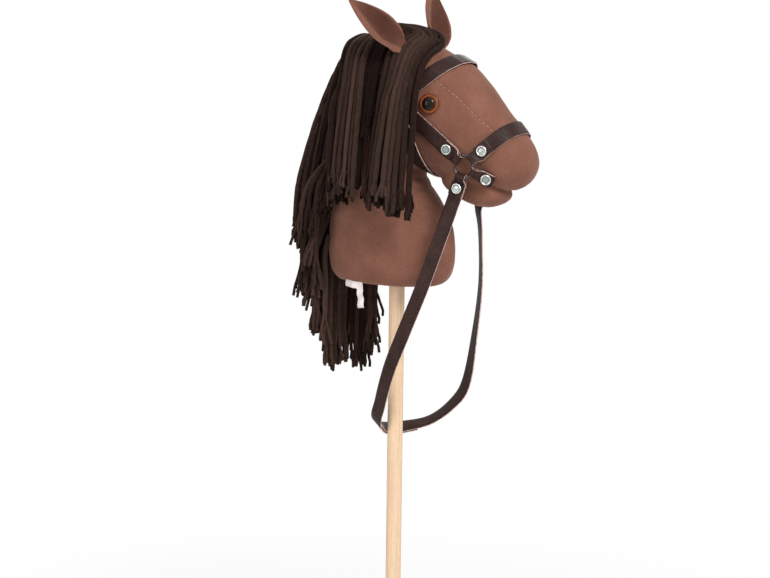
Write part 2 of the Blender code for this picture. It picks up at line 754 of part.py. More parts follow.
def ear_rings(side, grow=0.0):
    base = HEAD_ORIGIN + Vector((EAR_BASE[0], EAR_BASE[1] * side, EAR_BASE[2]))
    forward, out, up = EAR_TIPS[side]
    tip = HEAD_ORIGIN + Vector((forward, out * side, up))
    axis = (tip - base).normalized()
    forward, out, up = EAR_FACINGS[side]
    facing = Vector((forward, out * side, up))
    facing = (facing - axis * facing.dot(axis)).normalized()
    across = axis.cross(facing)
    rings = []
    for share, half_width, depth in blended(EAR_SECTIONS, 1):
        centre = base + (tip - base) * share + facing * depth * 0.5
        rings.append(crescent(centre, facing, across, half_width, depth, grow))
    return rings


def hanging_line(surface, side, root_angle, bottom, start, clear):
    """The middle of the mane's thickness along one strand: from the crest over the side, then down."""
    middle = HEAD_ORIGIN + Vector((CREST_CENTRE[0], CREST_APART * side, CREST_CENTRE[1]))
    ray = Vector((math.cos(math.radians(root_angle)), 0, math.sin(math.radians(root_angle))))
    root, normal = surface.hit(middle + ray * 0.4, -ray)
    lift = LOCK_THICKNESS / 2 + clear
    line = [root + normal * LOCK_THICKNESS / 2 * LOCK_FULLNESS[0] * 0.8]
    low = BASE_HEIGHT + bottom[1]
    for k in range(1, len(LOCK_LEVELS)):
        level = LOCK_LEVELS[k]
        t = min(max((level - start) / 0.75, 0), 1)
        x = root.x + (bottom[0] - root.x) * (t * t * (3 - 2 * t) if start else t**0.75)
        z = root.z + (low - root.z) * level
        out = abs(line[-1].y) + 0.001 + BACK_SPREAD * max(0, LOCK_LEVELS[k] - LOCK_LEVELS[k - 1])
        place, normal = surface.hit(Vector((x, 0.3 * side, z)), Vector((0, -side, 0)))
        if place is not None and place.y * side > 0:
            stand = place + normal * lift
            if abs(stand.y) > out:
                out = abs(stand.y)
                x += normal.x * lift * 0.5
                z += normal.z * lift * 0.5
        line.append(Vector((x, out * side, z)))
    return line


def lock_mesh(name, first, second, inset=SEAT, thickness=LOCK_THICKNESS):
    """One hanging lock of the mane between two boundary strands."""
    rings = []
    count = len(first)
    for k in range(count):
        across = second[k] - first[k]
        middle = (first[k] + second[k]) / 2
        low, high = max(k - 1, 0), min(k + 1, count - 1)
        along = (first[high] + second[high] - first[low] - second[low]).normalized()
        half = max(across.length / 2 - inset, 0.0008)
        across.normalize()
        out = along.cross(across).normalized()
        half_out = thickness / 2 * LOCK_FULLNESS[k]
        if k == count - 1:
            half *= 0.6
        if inset < 0 and k in (0, count - 1):
            middle += along * (-inset if k else inset) * 2
        ring = []
        for j in range(8):
            angle = 2 * math.pi * j / 8
            ring.append(middle + across * half * math.cos(angle) + out * half_out * math.sin(angle))
        rings.append(ring)
    return lofted(name, rings)


def tuft_lines(root, end, half_width):
    """Two boundary strands of a tuft that hangs behind the neck from its back seam."""
    lines = []
    for edge in (1, -1):
        line = []
        for level in LOCK_LEVELS:
            t = min(level / 0.45, 1)
            ease = t * t * (3 - 2 * t)
            x = root[0] + (end[0] - root[0]) * ease
            y = root[1] + (end[1] - root[1]) * ease
            z = BASE_HEIGHT + root[2] + (end[2] - root[2]) * level
            wide = half_width * min(1, 0.4 + level * 2)
            away = Vector((x * 0.6, y, 0)).normalized()
            turn = Vector((away.y, -away.x, 0))
            line.append(Vector((x, y, z)) + turn * wide * edge)
        lines.append(line)
    return lines


def build():
    for old in list(bpy.data.objects):
        bpy.data.objects.remove(old)
    cloth = material("brown_velour", (0.24, 0.085, 0.052), 0.95)
    leather = material("brown_leather", (0.030, 0.016, 0.013), 0.55)
    metal = material("silver", (0.75, 0.76, 0.77), 0.25, 1.0)
    ring_metal = material("dark_metal", (0.10, 0.095, 0.09), 0.35, 1.0)
    wood = material("beech", (0.78, 0.50, 0.30), 0.55)
    glass = material("amber_eye", (0.16, 0.035, 0.008), 0.08)
    yarn = material("dark_yarn", (0.022, 0.012, 0.009), 0.9)
    satin = material("white_satin", (0.85, 0.80, 0.78), 0.6)

    stick_top = BASE_HEIGHT + STICK_IN_HEAD
    profile = [
        (0, 0),
        (STICK_DIAMETER / 2 - STICK_BEVEL, 0),
        (STICK_DIAMETER / 2, STICK_BEVEL),
        (STICK_DIAMETER / 2, stick_top - STICK_BEVEL),
        (STICK_DIAMETER / 2 - STICK_BEVEL, stick_top),
        (0, stick_top),
    ]
    add_object("stick", turned("stick", profile, Vector(), UPWARDS, 32), wood)
    bore = STICK_DIAMETER / 2 + SEAT
    low, high = BASE_HEIGHT / 2, stick_top + SEAT
    profile = [(0, low), (bore, low), (bore, high), (0, high)]
    stick_bore = add_object("cut_stick", turned("cut_stick", profile, Vector(), UPWARDS, 32), cutter=True)

    surface = Surface()
    head = add_object("head", lofted("head", head_rings(HEAD_SECTIONS, HEAD_STEPS)), cloth)
    grown = lofted("cut_head", head_rings(HEAD_SECTIONS, HEAD_STEPS, SEAT))
    head_cutter = add_object("cut_head", grown, cutter=True)
    neck = add_object("neck", lofted("neck", neck_rings()), cloth)
    neck_cutter = add_object("cut_neck", lofted("cut_neck", neck_rings(SEAT)), cutter=True)
    cut(neck, head_cutter)
    cut(neck, stick_bore)
    cut(head, stick_bore)
    jaw = add_object("lower_jaw", lofted("lower_jaw", head_rings(JAW_SECTIONS, JAW_STEPS)), cloth)
    cut(jaw, head_cutter)
    surface.add(head.data)

    joint = RING_MIDDLE + HEADPIECE_DIRECTION * JOINT_ALONG
    brow = Vector((BROW_DIRECTION[0], 0, BROW_DIRECTION[1])).normalized()
    corner = HEADPIECE_DIRECTION.cross(brow).length
    clear = STRAP_WIDTH / 2 + EYE_DIAMETER / 2
    eye_spot = joint + brow * (clear + EYE_CHEEK_GAP) / corner
    eye_spot -= HEADPIECE_DIRECTION * (clear + EYE_BROW_GAP) / corner

    ear_cutters = []
    for side, hand in ((1, "left"), (-1, "right")):
        name = "ear_" + hand
        ear = add_object(name, lofted(name, ear_rings(side)), cloth)
        cut(ear, head_cutter)
        name = "cut_" + name
        ear_cutters.append(add_object(name, lofted(name, ear_rings(side, EAR_CLEAR)), cutter=True))
        place, normal = surface.hit(eye_spot + SIDEWAYS * 0.3 * side, SIDEWAYS * -side)
        radius, stem = EYE_DIAMETER / 2, EYE_STEM / 2
        lift = SEAT + SAG
        profile = [(0, -EYE_STEM_LENGTH), (stem, -EYE_STEM_LENGTH), (stem, lift), (radius * 0.98, lift)]
        profile += [(radius, lift + EYE_RISE * 0.13), (radius * 0.93, lift + EYE_RISE * 0.42)]
        profile += [(radius * 0.75, lift + EYE_RISE * 0.71), (radius * 0.42, lift + EYE_RISE * 0.93)]
        profile += [(0, lift + EYE_RISE)]
        name = "eye_" + hand
        add_object(name, turned(name, profile, place, normal, 20), glass)
        bore = stem + SEAT
        profile = [(0, -EYE_STEM_LENGTH - SEAT), (bore, -EYE_STEM_LENGTH - SEAT), (bore, 0.01), (0, 0.01)]
        hole = add_object("cut_" + name, turned("cut_" + name, profile, place, normal, 16), cutter=True)
        cut(head, hole)

    under_ring = 0.0
    for k in range(16):
        angle = 2 * math.pi * k / 16
        spot = RING_MIDDLE + Vector((math.cos(angle), 0, math.sin(angle))) * (RING_MEAN_RADIUS + WIRE_RADIUS)
        hit, _ = surface.hit(spot + SIDEWAYS * 0.3, -SIDEWAYS)
        if hit is not None:
            under_ring = max(under_ring, hit.y)
    wire_out = under_ring + SEAT + SAG + STRAP_THICKNESS + RUN + WIRE_RADIUS
    for side, hand in ((1, "left"), (-1, "right")):
        points, faces = [], []
        around, across = 32, 10
        for i in range(around):
            angle = 2 * math.pi * i / around
            radial = Vector((math.cos(angle), 0, math.sin(angle)))
            for k in range(across):
                turn = 2 * math.pi * k / across
                radius = RING_MEAN_RADIUS + WIRE_RADIUS * math.cos(turn)
                points.append(radial * radius + SIDEWAYS * WIRE_RADIUS * math.sin(turn))
                ahead, beside = (i + 1) % around, (k + 1) % across
                faces.append(
                    (i * across + k, i * across + beside, ahead * across + beside, ahead * across + k)
                )
        ring = add_object("bit_ring_" + hand, mesh_from("bit_ring_" + hand, points, faces), ring_metal)
        ring.location = RING_MIDDLE + SIDEWAYS * wire_out * side

    direction = HEADPIECE_DIRECTION
    headpiece, rows, stations = ring_band(
        "headpiece", surface, RING_MIDDLE, direction, wire_out, HEADPIECE_AIM, leather
    )
    headpiece_rows = rows
    at = HEADPIECE_RIVET_ALONG
    fold_rivet("rivet_headpiece_right", rows, stations, at, -SIDEWAYS, metal, headpiece)
    fold_rivet("rivet_headpiece_left", rows[::-1], stations, at, SIDEWAYS, metal, headpiece)
    nose = Vector((NOSE_DIRECTION[0], 0, NOSE_DIRECTION[1])).normalized()
    noseband, rows, stations = ring_band(
        "noseband", surface, RING_MIDDLE, nose, wire_out, NOSEBAND_AIM, leather
    )
    at = NOSEBAND_RIVET_ALONG
    fold_rivet("rivet_noseband_right", rows, stations, at, -SIDEWAYS, metal, noseband)
    fold_rivet("rivet_noseband_left", rows[::-1], stations, at, SIDEWAYS, metal, noseband)
    chops = Surface()
    chops.add(head.data)
    chops.add(jaw.data)
    for side, hand in ((1, "left"), (-1, "right")):
        tab, rows, stations = side_tab(
            "mouth_tab_" + hand, chops, RING_MIDDLE, HEAD_AXIS, wire_out, side, MOUTH_TAB_LENGTH, leather
        )
        outward = SIDEWAYS * side
        fold_rivet("rivet_mouth_tab_" + hand, rows, stations, MOUTH_RIVET_ALONG, outward, metal, tab)

    wider = []
    for row in headpiece_rows:
        edge = (row[2] - row[0]).normalized() * SEAT
        wider.append([row[0] - edge, row[1], row[2] + edge])
    groove = ribbon("cut_headpiece", wider, STRAP_THICKNESS + 4 * SEAT)
    headpiece_cutter = add_object("cut_headpiece", groove, cutter=True)
    skull = Surface()
    skull.add(head.data)
    surface.add(headpiece.data)
    throat_way = Vector((THROAT_DIRECTION[0], 0, THROAT_DIRECTION[1])).normalized()
    throat, _, _ = plain_band(
        "throat_strap", surface, joint, throat_way, -STRAP_TAIL, BAND_AIM, leather, SAG
    )
    surface.add(throat.data)
    browband, _, _ = plain_band("browband", surface, joint, brow, -STRAP_TAIL, BAND_AIM, leather, SAG)
    surface.add(browband.data)
    for side, hand in ((1, "left"), (-1, "right")):
        place, normal = surface.hit(joint + SIDEWAYS * 0.3 * side, Vector((0, -side, 0)))
        inside, _ = skull.hit(place + normal * 0.001, -normal)
        depth = (place - inside).length - SEAT
        rivet("rivet_joint_" + hand, place, normal, depth, metal, [headpiece, throat, browband])

    ends = [rein_start(-1, wire_out)], [rein_start(1, wire_out)]
    path = loop_path(ends[0] + rein_stations() + ends[1], REIN_STEP)
    right, rows = rein("rein_right", RING_MIDDLE, wire_out, -1, path, leather, 0, REIN_RIGHT_END, True)
    at = REIN_RIVET_ALONG
    fold_rivet("rivet_rein_right", rows, FOLD_STATIONS + [1], at, -SIDEWAYS, metal, right)
    left, rows = rein("rein_left", RING_MIDDLE, wire_out, 1, path, leather, REIN_LEFT_END, 1, False)
    fold_rivet("rivet_rein_left", rows, FOLD_STATIONS + [1], at, SIDEWAYS, metal, left)

    cover = Surface()
    cover.add(head.data)
    cover.add(neck.data)
    for strap in (headpiece, throat, browband):
        cover.add(strap.data)
    for name in ("rivet_joint_left", "rivet_joint_right"):
        cover.add(bpy.data.objects[name].data)
    for side, hand, groups in (
        (-1, "right", (FORELOCK, CURTAIN_RIGHT)),
        (1, "left", (CURTAIN_LEFT,)),
    ):
        for label, group in zip(("forelock", "mane") if side < 0 else ("mane",), groups):
            start, clear = (0.17, FORELOCK_CLEAR) if label == "forelock" else (0, LOCK_CLEAR)
            lines = [hanging_line(cover, side, angle, bottom, start, clear) for angle, bottom in group]
            for k, (first, second) in enumerate(zip(lines, lines[1:]), 1):
                name = f"{label}_{hand}_{k}"
                lock = add_object(name, lock_mesh(name, first, second), yarn)
                cut(lock, head_cutter)
                if label == "mane":
                    cut(lock, neck_cutter)
                if label == "mane" and k < 5:
                    cut(lock, headpiece_cutter)
                if label == "forelock":
                    cut(lock, ear_cutters[1])
                if label == "forelock" and k > 1:
                    grown = lock_mesh("cut_" + name, lines[k - 2], first, -SEAT, 2 * LOCK_THICKNESS)
                    cut(lock, add_object("cut_" + name, grown, cutter=True))
    for k, (root, end, half_width) in enumerate(TUFTS, 1):
        first, second = tuft_lines(root, end, half_width)
        name = f"mane_tuft_{k}"
        tuft = add_object(name, lock_mesh(name, first, second, thickness=TUFT_THICKNESS), yarn)
        cut(tuft, neck_cutter)

    rows = []
    for out, down in TAG_FOLD:
        middle = Vector((TAG_AT[0], TAG_AT[1] - out, BASE_HEIGHT - SEAT - down))
        rows.append([middle + Vector((share * TAG_WIDTH / 2, 0, 0)) for share in (-1, 0, 1)])
    add_object("label_tag", ribbon("label_tag", rows, TAG_THICKNESS), satin)


build()
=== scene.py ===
# %% [markdown]
# # A hobby horse with a yarn mane
#
# A hobby horse is a stuffed cloth head on a wooden stick. This one has brown velour over firm stuffing,
# resin eyes, a riveted strap bridle with two rings and a loop of rein, and a mane of thick soft yarn. The
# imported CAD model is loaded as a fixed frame. Each cell group dresses one part of it, in the same metres
# and in the same place.

import json
import math

import bmesh
import bpy
import numpy as np
from mathutils import Matrix, Vector, noise
from mathutils.bvhtree import BVHTree
from mathutils.kdtree import KDTree


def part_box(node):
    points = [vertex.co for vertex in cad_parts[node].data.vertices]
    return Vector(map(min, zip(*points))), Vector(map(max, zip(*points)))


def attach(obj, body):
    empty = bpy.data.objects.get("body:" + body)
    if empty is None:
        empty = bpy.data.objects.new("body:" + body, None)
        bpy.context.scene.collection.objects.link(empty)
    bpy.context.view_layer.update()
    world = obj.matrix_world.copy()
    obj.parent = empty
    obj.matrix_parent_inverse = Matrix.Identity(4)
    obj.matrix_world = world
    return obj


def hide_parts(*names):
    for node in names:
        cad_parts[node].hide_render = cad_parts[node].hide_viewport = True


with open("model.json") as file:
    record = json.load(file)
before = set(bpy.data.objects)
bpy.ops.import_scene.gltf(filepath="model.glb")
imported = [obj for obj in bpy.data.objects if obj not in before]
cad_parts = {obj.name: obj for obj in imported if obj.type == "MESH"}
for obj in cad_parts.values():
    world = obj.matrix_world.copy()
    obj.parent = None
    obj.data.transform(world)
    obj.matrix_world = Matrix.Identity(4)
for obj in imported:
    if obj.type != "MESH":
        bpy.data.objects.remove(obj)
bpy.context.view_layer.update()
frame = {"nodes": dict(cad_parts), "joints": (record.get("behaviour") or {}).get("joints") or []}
nodes = frame["nodes"]

# %% [markdown]
# ## Camera, light and floor
#
# The camera stands where the photographer's did: thirty degrees round from the horse's right side, a little
# above. It could be aimed with a constraint, but a matrix built from three directions says exactly what it
# sees. Three large soft lamps light the toy at a plain level, and the world shows its full white only to
# the camera, in reflections and through clear things.

# %% Camera
TURN = math.radians(30)
RISE = math.radians(8)
ROLL = math.radians(0.7)
DISTANCE = 2.0
LENS = 81.31
AIM_HEIGHT, AIM_LEFT = 0.502, 0.013685

scene = bpy.context.scene
scene.view_settings.view_transform = "Standard"
backward = Vector((math.sin(TURN) * math.cos(RISE), -math.cos(TURN) * math.cos(RISE), math.sin(RISE)))
level_right = Vector((math.cos(TURN), math.sin(TURN), 0))
level_up = backward.cross(level_right)
camera_right = level_right * math.cos(ROLL) + level_up * math.sin(ROLL)
camera_up = level_up * math.cos(ROLL) - level_right * math.sin(ROLL)
aim = Vector((0, 0, AIM_HEIGHT)) - level_right * AIM_LEFT
camera = bpy.data.objects.new("camera", bpy.data.cameras.new("camera"))
camera.data.lens = LENS
camera.matrix_world = Matrix.Translation(aim + backward * DISTANCE) @ Matrix(
    (camera_right, camera_up, backward)
).transposed().to_4x4()
scene.collection.objects.link(camera)
scene.camera = camera
print("camera at", [round(value, 3) for value in camera.matrix_world.translation])


# %% Node helpers
def feed(tree, node, *wires):
    """Feeds a node. A wire is an input and a value, a socket or a node, whose first output is then meant."""
    for place, value in wires:
        if isinstance(value, bpy.types.Node):
            value = value.outputs[0]
        if isinstance(value, bpy.types.NodeSocket):
            tree.links.new(value, node.inputs[place])
        else:
            node.inputs[place].default_value = value
    return node


def put(tree, kind, *wires, **settings):
    """Adds a node to a tree, sets it and feeds it."""
    made = tree.nodes.new(kind)
    for key, value in settings.items():
        setattr(made, key, value)
    return feed(tree, made, *wires)


def calc(tree, operation, *values):
    return put(tree, "ShaderNodeMath", *enumerate(values), operation=operation)


def vector_calc(tree, operation, *values):
    return put(tree, "ShaderNodeVectorMath", *enumerate(values), operation=operation)


def scaled(tree, vector, size):
    return put(tree, "ShaderNodeVectorMath", (0, vector), ("Scale", size), operation="SCALE")


def between_values(tree, share, low, high):
    """A value from low, where the share is 0, to high, where it is 1."""
    return put(tree, "ShaderNodeMapRange", ("Value", share), ("To Min", low), ("To Max", high))


# %% Lamps and world
WORLD_LIGHT = 0.42
WHITE = (1, 1, 1, 1)
LAMPS = (
    ("key_lamp", (1.5, -0.9, 1.9), 0.60, 0.9, 34), ("fill_lamp", (-0.9, -1.8, 1.1), 0.55, 1.4, 11),
    ("back_lamp", (-0.8, 1.7, 1.5), 0.55, 1.2, 12),
)
for name, place, aimed_at, width, watts in LAMPS:
    lamp = bpy.data.objects.new(name, bpy.data.lights.new(name, "AREA"))
    lamp.data.shape = "DISK"
    lamp.data.size = width
    lamp.data.energy = watts
    lamp.location = place
    lamp.rotation_euler = (Vector((0, 0, aimed_at)) - Vector(place)).to_track_quat("-Z", "Y").to_euler()
    scene.collection.objects.link(lamp)

world = bpy.data.worlds.new("studio")
scene.world = world
world.use_nodes = True
sky = world.node_tree
rays = put(sky, "ShaderNodeLightPath").outputs
looking = calc(sky, "MAXIMUM", rays["Is Camera Ray"], rays["Is Glossy Ray"])
looking = calc(sky, "MAXIMUM", looking, rays["Is Transmission Ray"])
strength = between_values(sky, looking, WORLD_LIGHT, 1.0)
feed(sky, sky.nodes["Background"], ("Color", WHITE), ("Strength", strength))
print("lamps:", [name for name, *_ in LAMPS])


# %% Floor
FLOOR_RADIUS = 3.2
SHADOW_INNER, SHADOW_OUTER, SHADOW_WHITE = 0.1, 0.9, 0.6
SHADER = "Principled BSDF"


def mesh_from(bm, name):
    mesh = bpy.data.meshes.new(name)
    bm.to_mesh(mesh)
    bm.free()
    return mesh


def finish(name, **values):
    """A new material with values on the sockets of its Principled shader, and its node tree."""
    made = bpy.data.materials.new(name)
    made.use_nodes = True
    for key, value in values.items():
        socket = key.replace("_", " ").title().replace("Ior", "IOR")
        made.node_tree.nodes[SHADER].inputs[socket].default_value = value
    return made, made.node_tree


def object_place(tree):
    return put(tree, "ShaderNodeTexCoord").outputs["Object"]


def stage_floor():
    """A round pale floor that looks white to the camera but keeps part of the toy's shadow."""
    bm = bmesh.new()
    bmesh.ops.create_circle(bm, cap_ends=True, radius=FLOOR_RADIUS, segments=96)
    floor = bpy.data.objects.new("floor", mesh_from(bm, "floor"))
    scene.collection.objects.link(floor)
    paint, tree = finish("pale_floor", base_color=(0.86, 0.86, 0.86, 1), roughness=0.85)
    seen = put(tree, "ShaderNodeLightPath").outputs["Is Camera Ray"]
    glow = put(tree, "ShaderNodeEmission", ("Color", WHITE), ("Strength", 1.0))
    away = vector_calc(tree, "LENGTH", object_place(tree)).outputs["Value"]
    clear_of_toy = put(tree, "ShaderNodeMapRange", ("Value", away), ("From Min", SHADOW_INNER),
                       ("From Max", SHADOW_OUTER), ("To Min", SHADOW_WHITE), ("To Max", 1.0),
                       interpolation_type="SMOOTHSTEP")
    share = calc(tree, "MULTIPLY", seen, clear_of_toy)
    mix = put(tree, "ShaderNodeMixShader", (0, share), (1, tree.nodes[SHADER]), (2, glow))
    feed(tree, tree.nodes["Material Output"], ("Surface", mix))
    floor.data.materials.append(paint)


stage_floor()

# %% [markdown]
# ## Shared shader groups
#
# Three effects make up the finishes: a mottled tone, fine fibres that run along one direction, and a
# pebbled grain. Each is made once as a node group with named inputs, so that each material only chooses its
# sizes. The groups read a position that the material passes in, so they work on object coordinates or on a
# strand's own.

# %% Group maker
FLOAT, VECTOR = "NodeSocketFloat", "NodeSocketVector"
NOISE = "ShaderNodeTexNoise"


def effect(name, inputs, outputs):
    """A new shader group with its named inputs, which start at the given sizes, and its named outputs."""
    group = bpy.data.node_groups.new(name, "ShaderNodeTree")
    group.interface.new_socket("Place", in_out="INPUT", socket_type=VECTOR)
    for label, default in inputs:
        group.interface.new_socket(label, in_out="INPUT", socket_type=FLOAT).default_value = default
    for label in outputs:
        group.interface.new_socket(label, in_out="OUTPUT", socket_type=FLOAT)
    return group, group.nodes.new("NodeGroupInput").outputs, group.nodes.new("NodeGroupOutput")


def texture(group, kind, place, size, *wires, **settings):
    """A texture whose features are as large as the size says: its Scale is one over that."""
    often = calc(group, "DIVIDE", 1.0, size)
    return put(group, kind, ("Vector", place), ("Scale", often), *wires, **settings)


# %% Mottled tone
def mottle_group():
    sizes = [("Patch size", 0.03), ("Speckle size", 0.002)]
    group, given, result = effect("mottle", sizes, ["Tone", "Speckle"])
    wide = texture(group, NOISE, given["Place"], given["Patch size"], ("Detail", 3.0), ("Roughness", 0.6))
    fine = texture(group, NOISE, given["Place"], given["Speckle size"], ("Detail", 4.0), ("Roughness", 0.7))
    feed(group, result, ("Tone", wide), ("Speckle", fine))
    return group


# %% Fibres along one direction
def fibre_group():
    group, given, result = effect("fibres", [("Fibre size", 0.001), ("Stretch", 12.0)], ["Height"])
    squeeze = calc(group, "DIVIDE", 1.0, given["Stretch"])
    shape = put(group, "ShaderNodeCombineXYZ", (0, 1.0), (1, 1.0), (2, squeeze))
    spot = vector_calc(group, "MULTIPLY", given["Place"], shape)
    hairs = texture(group, NOISE, spot, given["Fibre size"], ("Detail", 4.0), ("Roughness", 0.62))
    feed(group, result, ("Height", hairs))
    return group


# %% Pebbled grain
def grain_group():
    group, given, result = effect("pebble_grain", [("Pebble size", 0.0012)], ["Height", "Crease"])
    cells = texture(group, "ShaderNodeTexVoronoi", given["Place"], given["Pebble size"], feature="F1")
    soft = texture(group, NOISE, given["Place"], given["Pebble size"], ("Detail", 5.0))
    crease = put(group, "ShaderNodeMapRange", ("Value", cells.outputs["Distance"]), ("From Min", 0.35),
                 ("From Max", 0.75))
    height = calc(group, "MULTIPLY", cells.outputs["Distance"], soft)
    feed(group, result, ("Height", height), ("Crease", crease))
    return group


mottle, fibres, pebbles = mottle_group(), fibre_group(), grain_group()
print("shader groups:", [group.name for group in (mottle, fibres, pebbles)])

# %% [markdown]
# ## Finishes
#
# Each material is one Principled shader. Its colour comes from a ramp over the shared groups, and any small
# relief comes from the same groups through a Bump node. Values that are the same everywhere stay on the
# shader's own sockets.

# %% Material helpers
def grouped(tree, group, place=None, **sizes):
    """The outputs of a shared group, which reads object coordinates unless it is given another place."""
    if place is None:
        place = object_place(tree)
    wires = [(key.replace("_", " ").capitalize(), value) for key, value in sizes.items()]
    return put(tree, "ShaderNodeGroup", ("Place", place), *wires, node_tree=group).outputs


def attribute(tree, name):
    return put(tree, "ShaderNodeAttribute", attribute_name=name).outputs["Fac"]


def blended(tree, first, second, share):
    return put(tree, "ShaderNodeMix", (0, share), (2, first), (3, second), data_type="FLOAT")


def coloured(tree, tone, *stops):
    """Takes the base colour from a ramp. A stop is its place on the ramp, then red, green and blue."""
    ramp = put(tree, "ShaderNodeValToRGB", (0, tone))
    while len(ramp.color_ramp.elements) < len(stops):
        ramp.color_ramp.elements.new(0.5)
    for element, (place, *colour) in zip(ramp.color_ramp.elements, stops):
        element.position = place
        element.color = (*colour, 1)
    feed(tree, tree.nodes[SHADER], ("Base Color", ramp))


def roughened(tree, share, low, high):
    feed(tree, tree.nodes[SHADER], ("Roughness", between_values(tree, share, low, high)))


def embossed(tree, height, depth, strength):
    bump = put(tree, "ShaderNodeBump", ("Height", height), ("Distance", depth), ("Strength", strength))
    feed(tree, tree.nodes[SHADER], ("Normal", bump))


# %% Velour
def velour():
    """Short-pile cloth. Where a piece carries painted shade, as in an ear's cup, its colour is darker."""
    made, tree = finish("velour", roughness=0.92, specular_ior_level=0.2, sheen_weight=0.35,
                        sheen_roughness=0.45, sheen_tint=(0.85, 0.55, 0.45, 1))
    cloth = grouped(tree, mottle, patch_size=0.035, speckle_size=0.0022)
    pile = grouped(tree, mottle, patch_size=0.006, speckle_size=0.0007)
    tone = blended(tree, cloth["Tone"], cloth["Speckle"], 0.45)
    tone = blended(tree, tone, pile["Speckle"], 0.35)
    # Painted shade: the ear cup's darkness is taken off the cloth's tone.
    tone_with_cup_shade = calc(tree, "MULTIPLY_ADD", attribute(tree, "painted_cup_shade"), -0.30, tone)
    coloured(tree, tone_with_cup_shade, (0.04, 0.062, 0.021, 0.014), (0.30, 0.140, 0.055, 0.036), (0.50, 0.215, 0.090, 0.060),
             (0.70, 0.310, 0.142, 0.099))
    embossed(tree, pile["Speckle"], 0.0005, 0.55)
    return made


# %% Leather and its cut edge
def leather():
    made, tree = finish("dark_leather", specular_ior_level=0.18)
    skin = grouped(tree, pebbles, pebble_size=0.0011)
    tones = grouped(tree, mottle, patch_size=0.02, speckle_size=0.003)
    tone = blended(tree, tones["Tone"], skin["Crease"], 0.35)
    coloured(tree, tone, (0.25, 0.014, 0.0055, 0.0040), (0.55, 0.035, 0.0150, 0.0115),
             (0.85, 0.068, 0.034, 0.027))
    roughened(tree, tones["Speckle"], 0.38, 0.62)
    embossed(tree, skin["Height"], 0.00025, 0.5)
    return made


def cut_edge():
    made, tree = finish("cut_edge", roughness=0.75)
    layers = grouped(tree, mottle, patch_size=0.004, speckle_size=0.0008)
    coloured(tree, layers["Tone"], (0.32, 0.34, 0.20, 0.17), (0.55, 0.72, 0.52, 0.46))
    embossed(tree, layers["Speckle"], 0.0002, 0.6)
    return made


# %% Metals
def metal(name, patch_size, low, high):
    """Metal that fine marks haze between two roughnesses. The tone given back colours it."""
    made, tree = finish(name, metallic=1.0)
    marks = grouped(tree, mottle, patch_size=patch_size, speckle_size=0.0009)
    roughened(tree, marks["Speckle"], low, high)
    embossed(tree, marks["Speckle"], 0.00004, 0.4)
    return made, tree, marks["Tone"]


def dark_metal():
    made, tree, tone = metal("ring_metal", 0.006, 0.196, 0.42)
    coloured(tree, tone, (0.3, 0.045, 0.042, 0.040), (0.7, 0.11, 0.105, 0.10))
    return made


def rivet_silver():
    """Bright plating with painted light on the cap: painted shade in the middle, in the groove and on the
    outer side, and a painted highlight on the rolled rim.
    """
    made, tree, tone = metal("rivet_silver", 0.004, 0.12, 0.34)
    # Painted light by place on the cap: shade in the middle, groove and outer side, and a highlight on the
    # rim.
    far = calc(tree, "ADD", attribute(tree, "spread"), between_values(tree, tone, -0.10, 0.10))
    coloured(tree, far, (0.0, 0.44, 0.48, 0.45), (0.45, 0.34, 0.38, 0.35), (0.66, 0.17, 0.19, 0.17),
             (0.78, 0.62, 0.64, 0.62), (0.95, 0.80, 0.81, 0.80), (1.0, 0.30, 0.31, 0.30))
    return made


# %% Wood
def beech():
    made, tree = finish("beech", specular_ior_level=0.35)
    lines = grouped(tree, fibres, fibre_size=0.0016, stretch=40.0)
    flecks = grouped(tree, fibres, fibre_size=0.0006, stretch=9.0)
    tone = blended(tree, lines["Height"], flecks["Height"], 0.4)
    coloured(tree, tone, (0.30, 0.70, 0.42, 0.24), (0.50, 0.88, 0.63, 0.42), (0.72, 0.93, 0.73, 0.52))
    roughened(tree, flecks["Height"], 0.42, 0.6)
    embossed(tree, tone, 0.00012, 0.35)
    return made


# %% Yarn
HAIR_TWIST, HAIR_RUN = 420.0, 500.0


def yarn():
    """Spun wool. Its hairs wind round each ply, so they read how far along and how far round a point lies."""
    made, tree = finish("mane_yarn", roughness=0.9, specular_ior_level=0.08, sheen_weight=0.06,
                        sheen_roughness=0.5, sheen_tint=(0.60, 0.42, 0.34, 1))
    run = attribute(tree, "run")
    angle = calc(tree, "ADD", attribute(tree, "around"), calc(tree, "MULTIPLY", run, HAIR_TWIST))
    east, north = calc(tree, "COSINE", angle), calc(tree, "SINE", angle)
    up = calc(tree, "MULTIPLY", run, HAIR_RUN)
    place = put(tree, "ShaderNodeCombineXYZ", (0, east), (1, north), (2, up))
    hairs = grouped(tree, fibres, place, fibre_size=0.45, stretch=7.0)
    # Blends in each strand's tone; for the strands underneath this tone is painted shade.
    tone = blended(tree, hairs["Height"], attribute(tree, "tint"), 0.46)
    coloured(tree, tone, (0.20, 0.0040, 0.0011, 0.0006), (0.46, 0.017, 0.0082, 0.0060),
             (0.76, 0.074, 0.042, 0.032))
    embossed(tree, hairs["Height"], 0.0005, 0.8)
    return made


# %% Eye resin
def eye_resin():
    made, tree = finish("eye_resin", roughness=0.06, specular_ior_level=0.22)
    cloud = grouped(tree, fibres, fibre_size=0.002, stretch=2.0)
    far = calc(tree, "ADD", attribute(tree, "spread"), calc(tree, "MULTIPLY", cloud["Height"], 0.06))
    coloured(tree, far, (0.0, 0.005, 0.0025, 0.001), (0.45, 0.008, 0.004, 0.002), (0.66, 0.030, 0.010, 0.003),
             (0.73, 0.16, 0.036, 0.006), (0.82, 0.33, 0.085, 0.016), (1.0, 0.10, 0.022, 0.006))
    return made


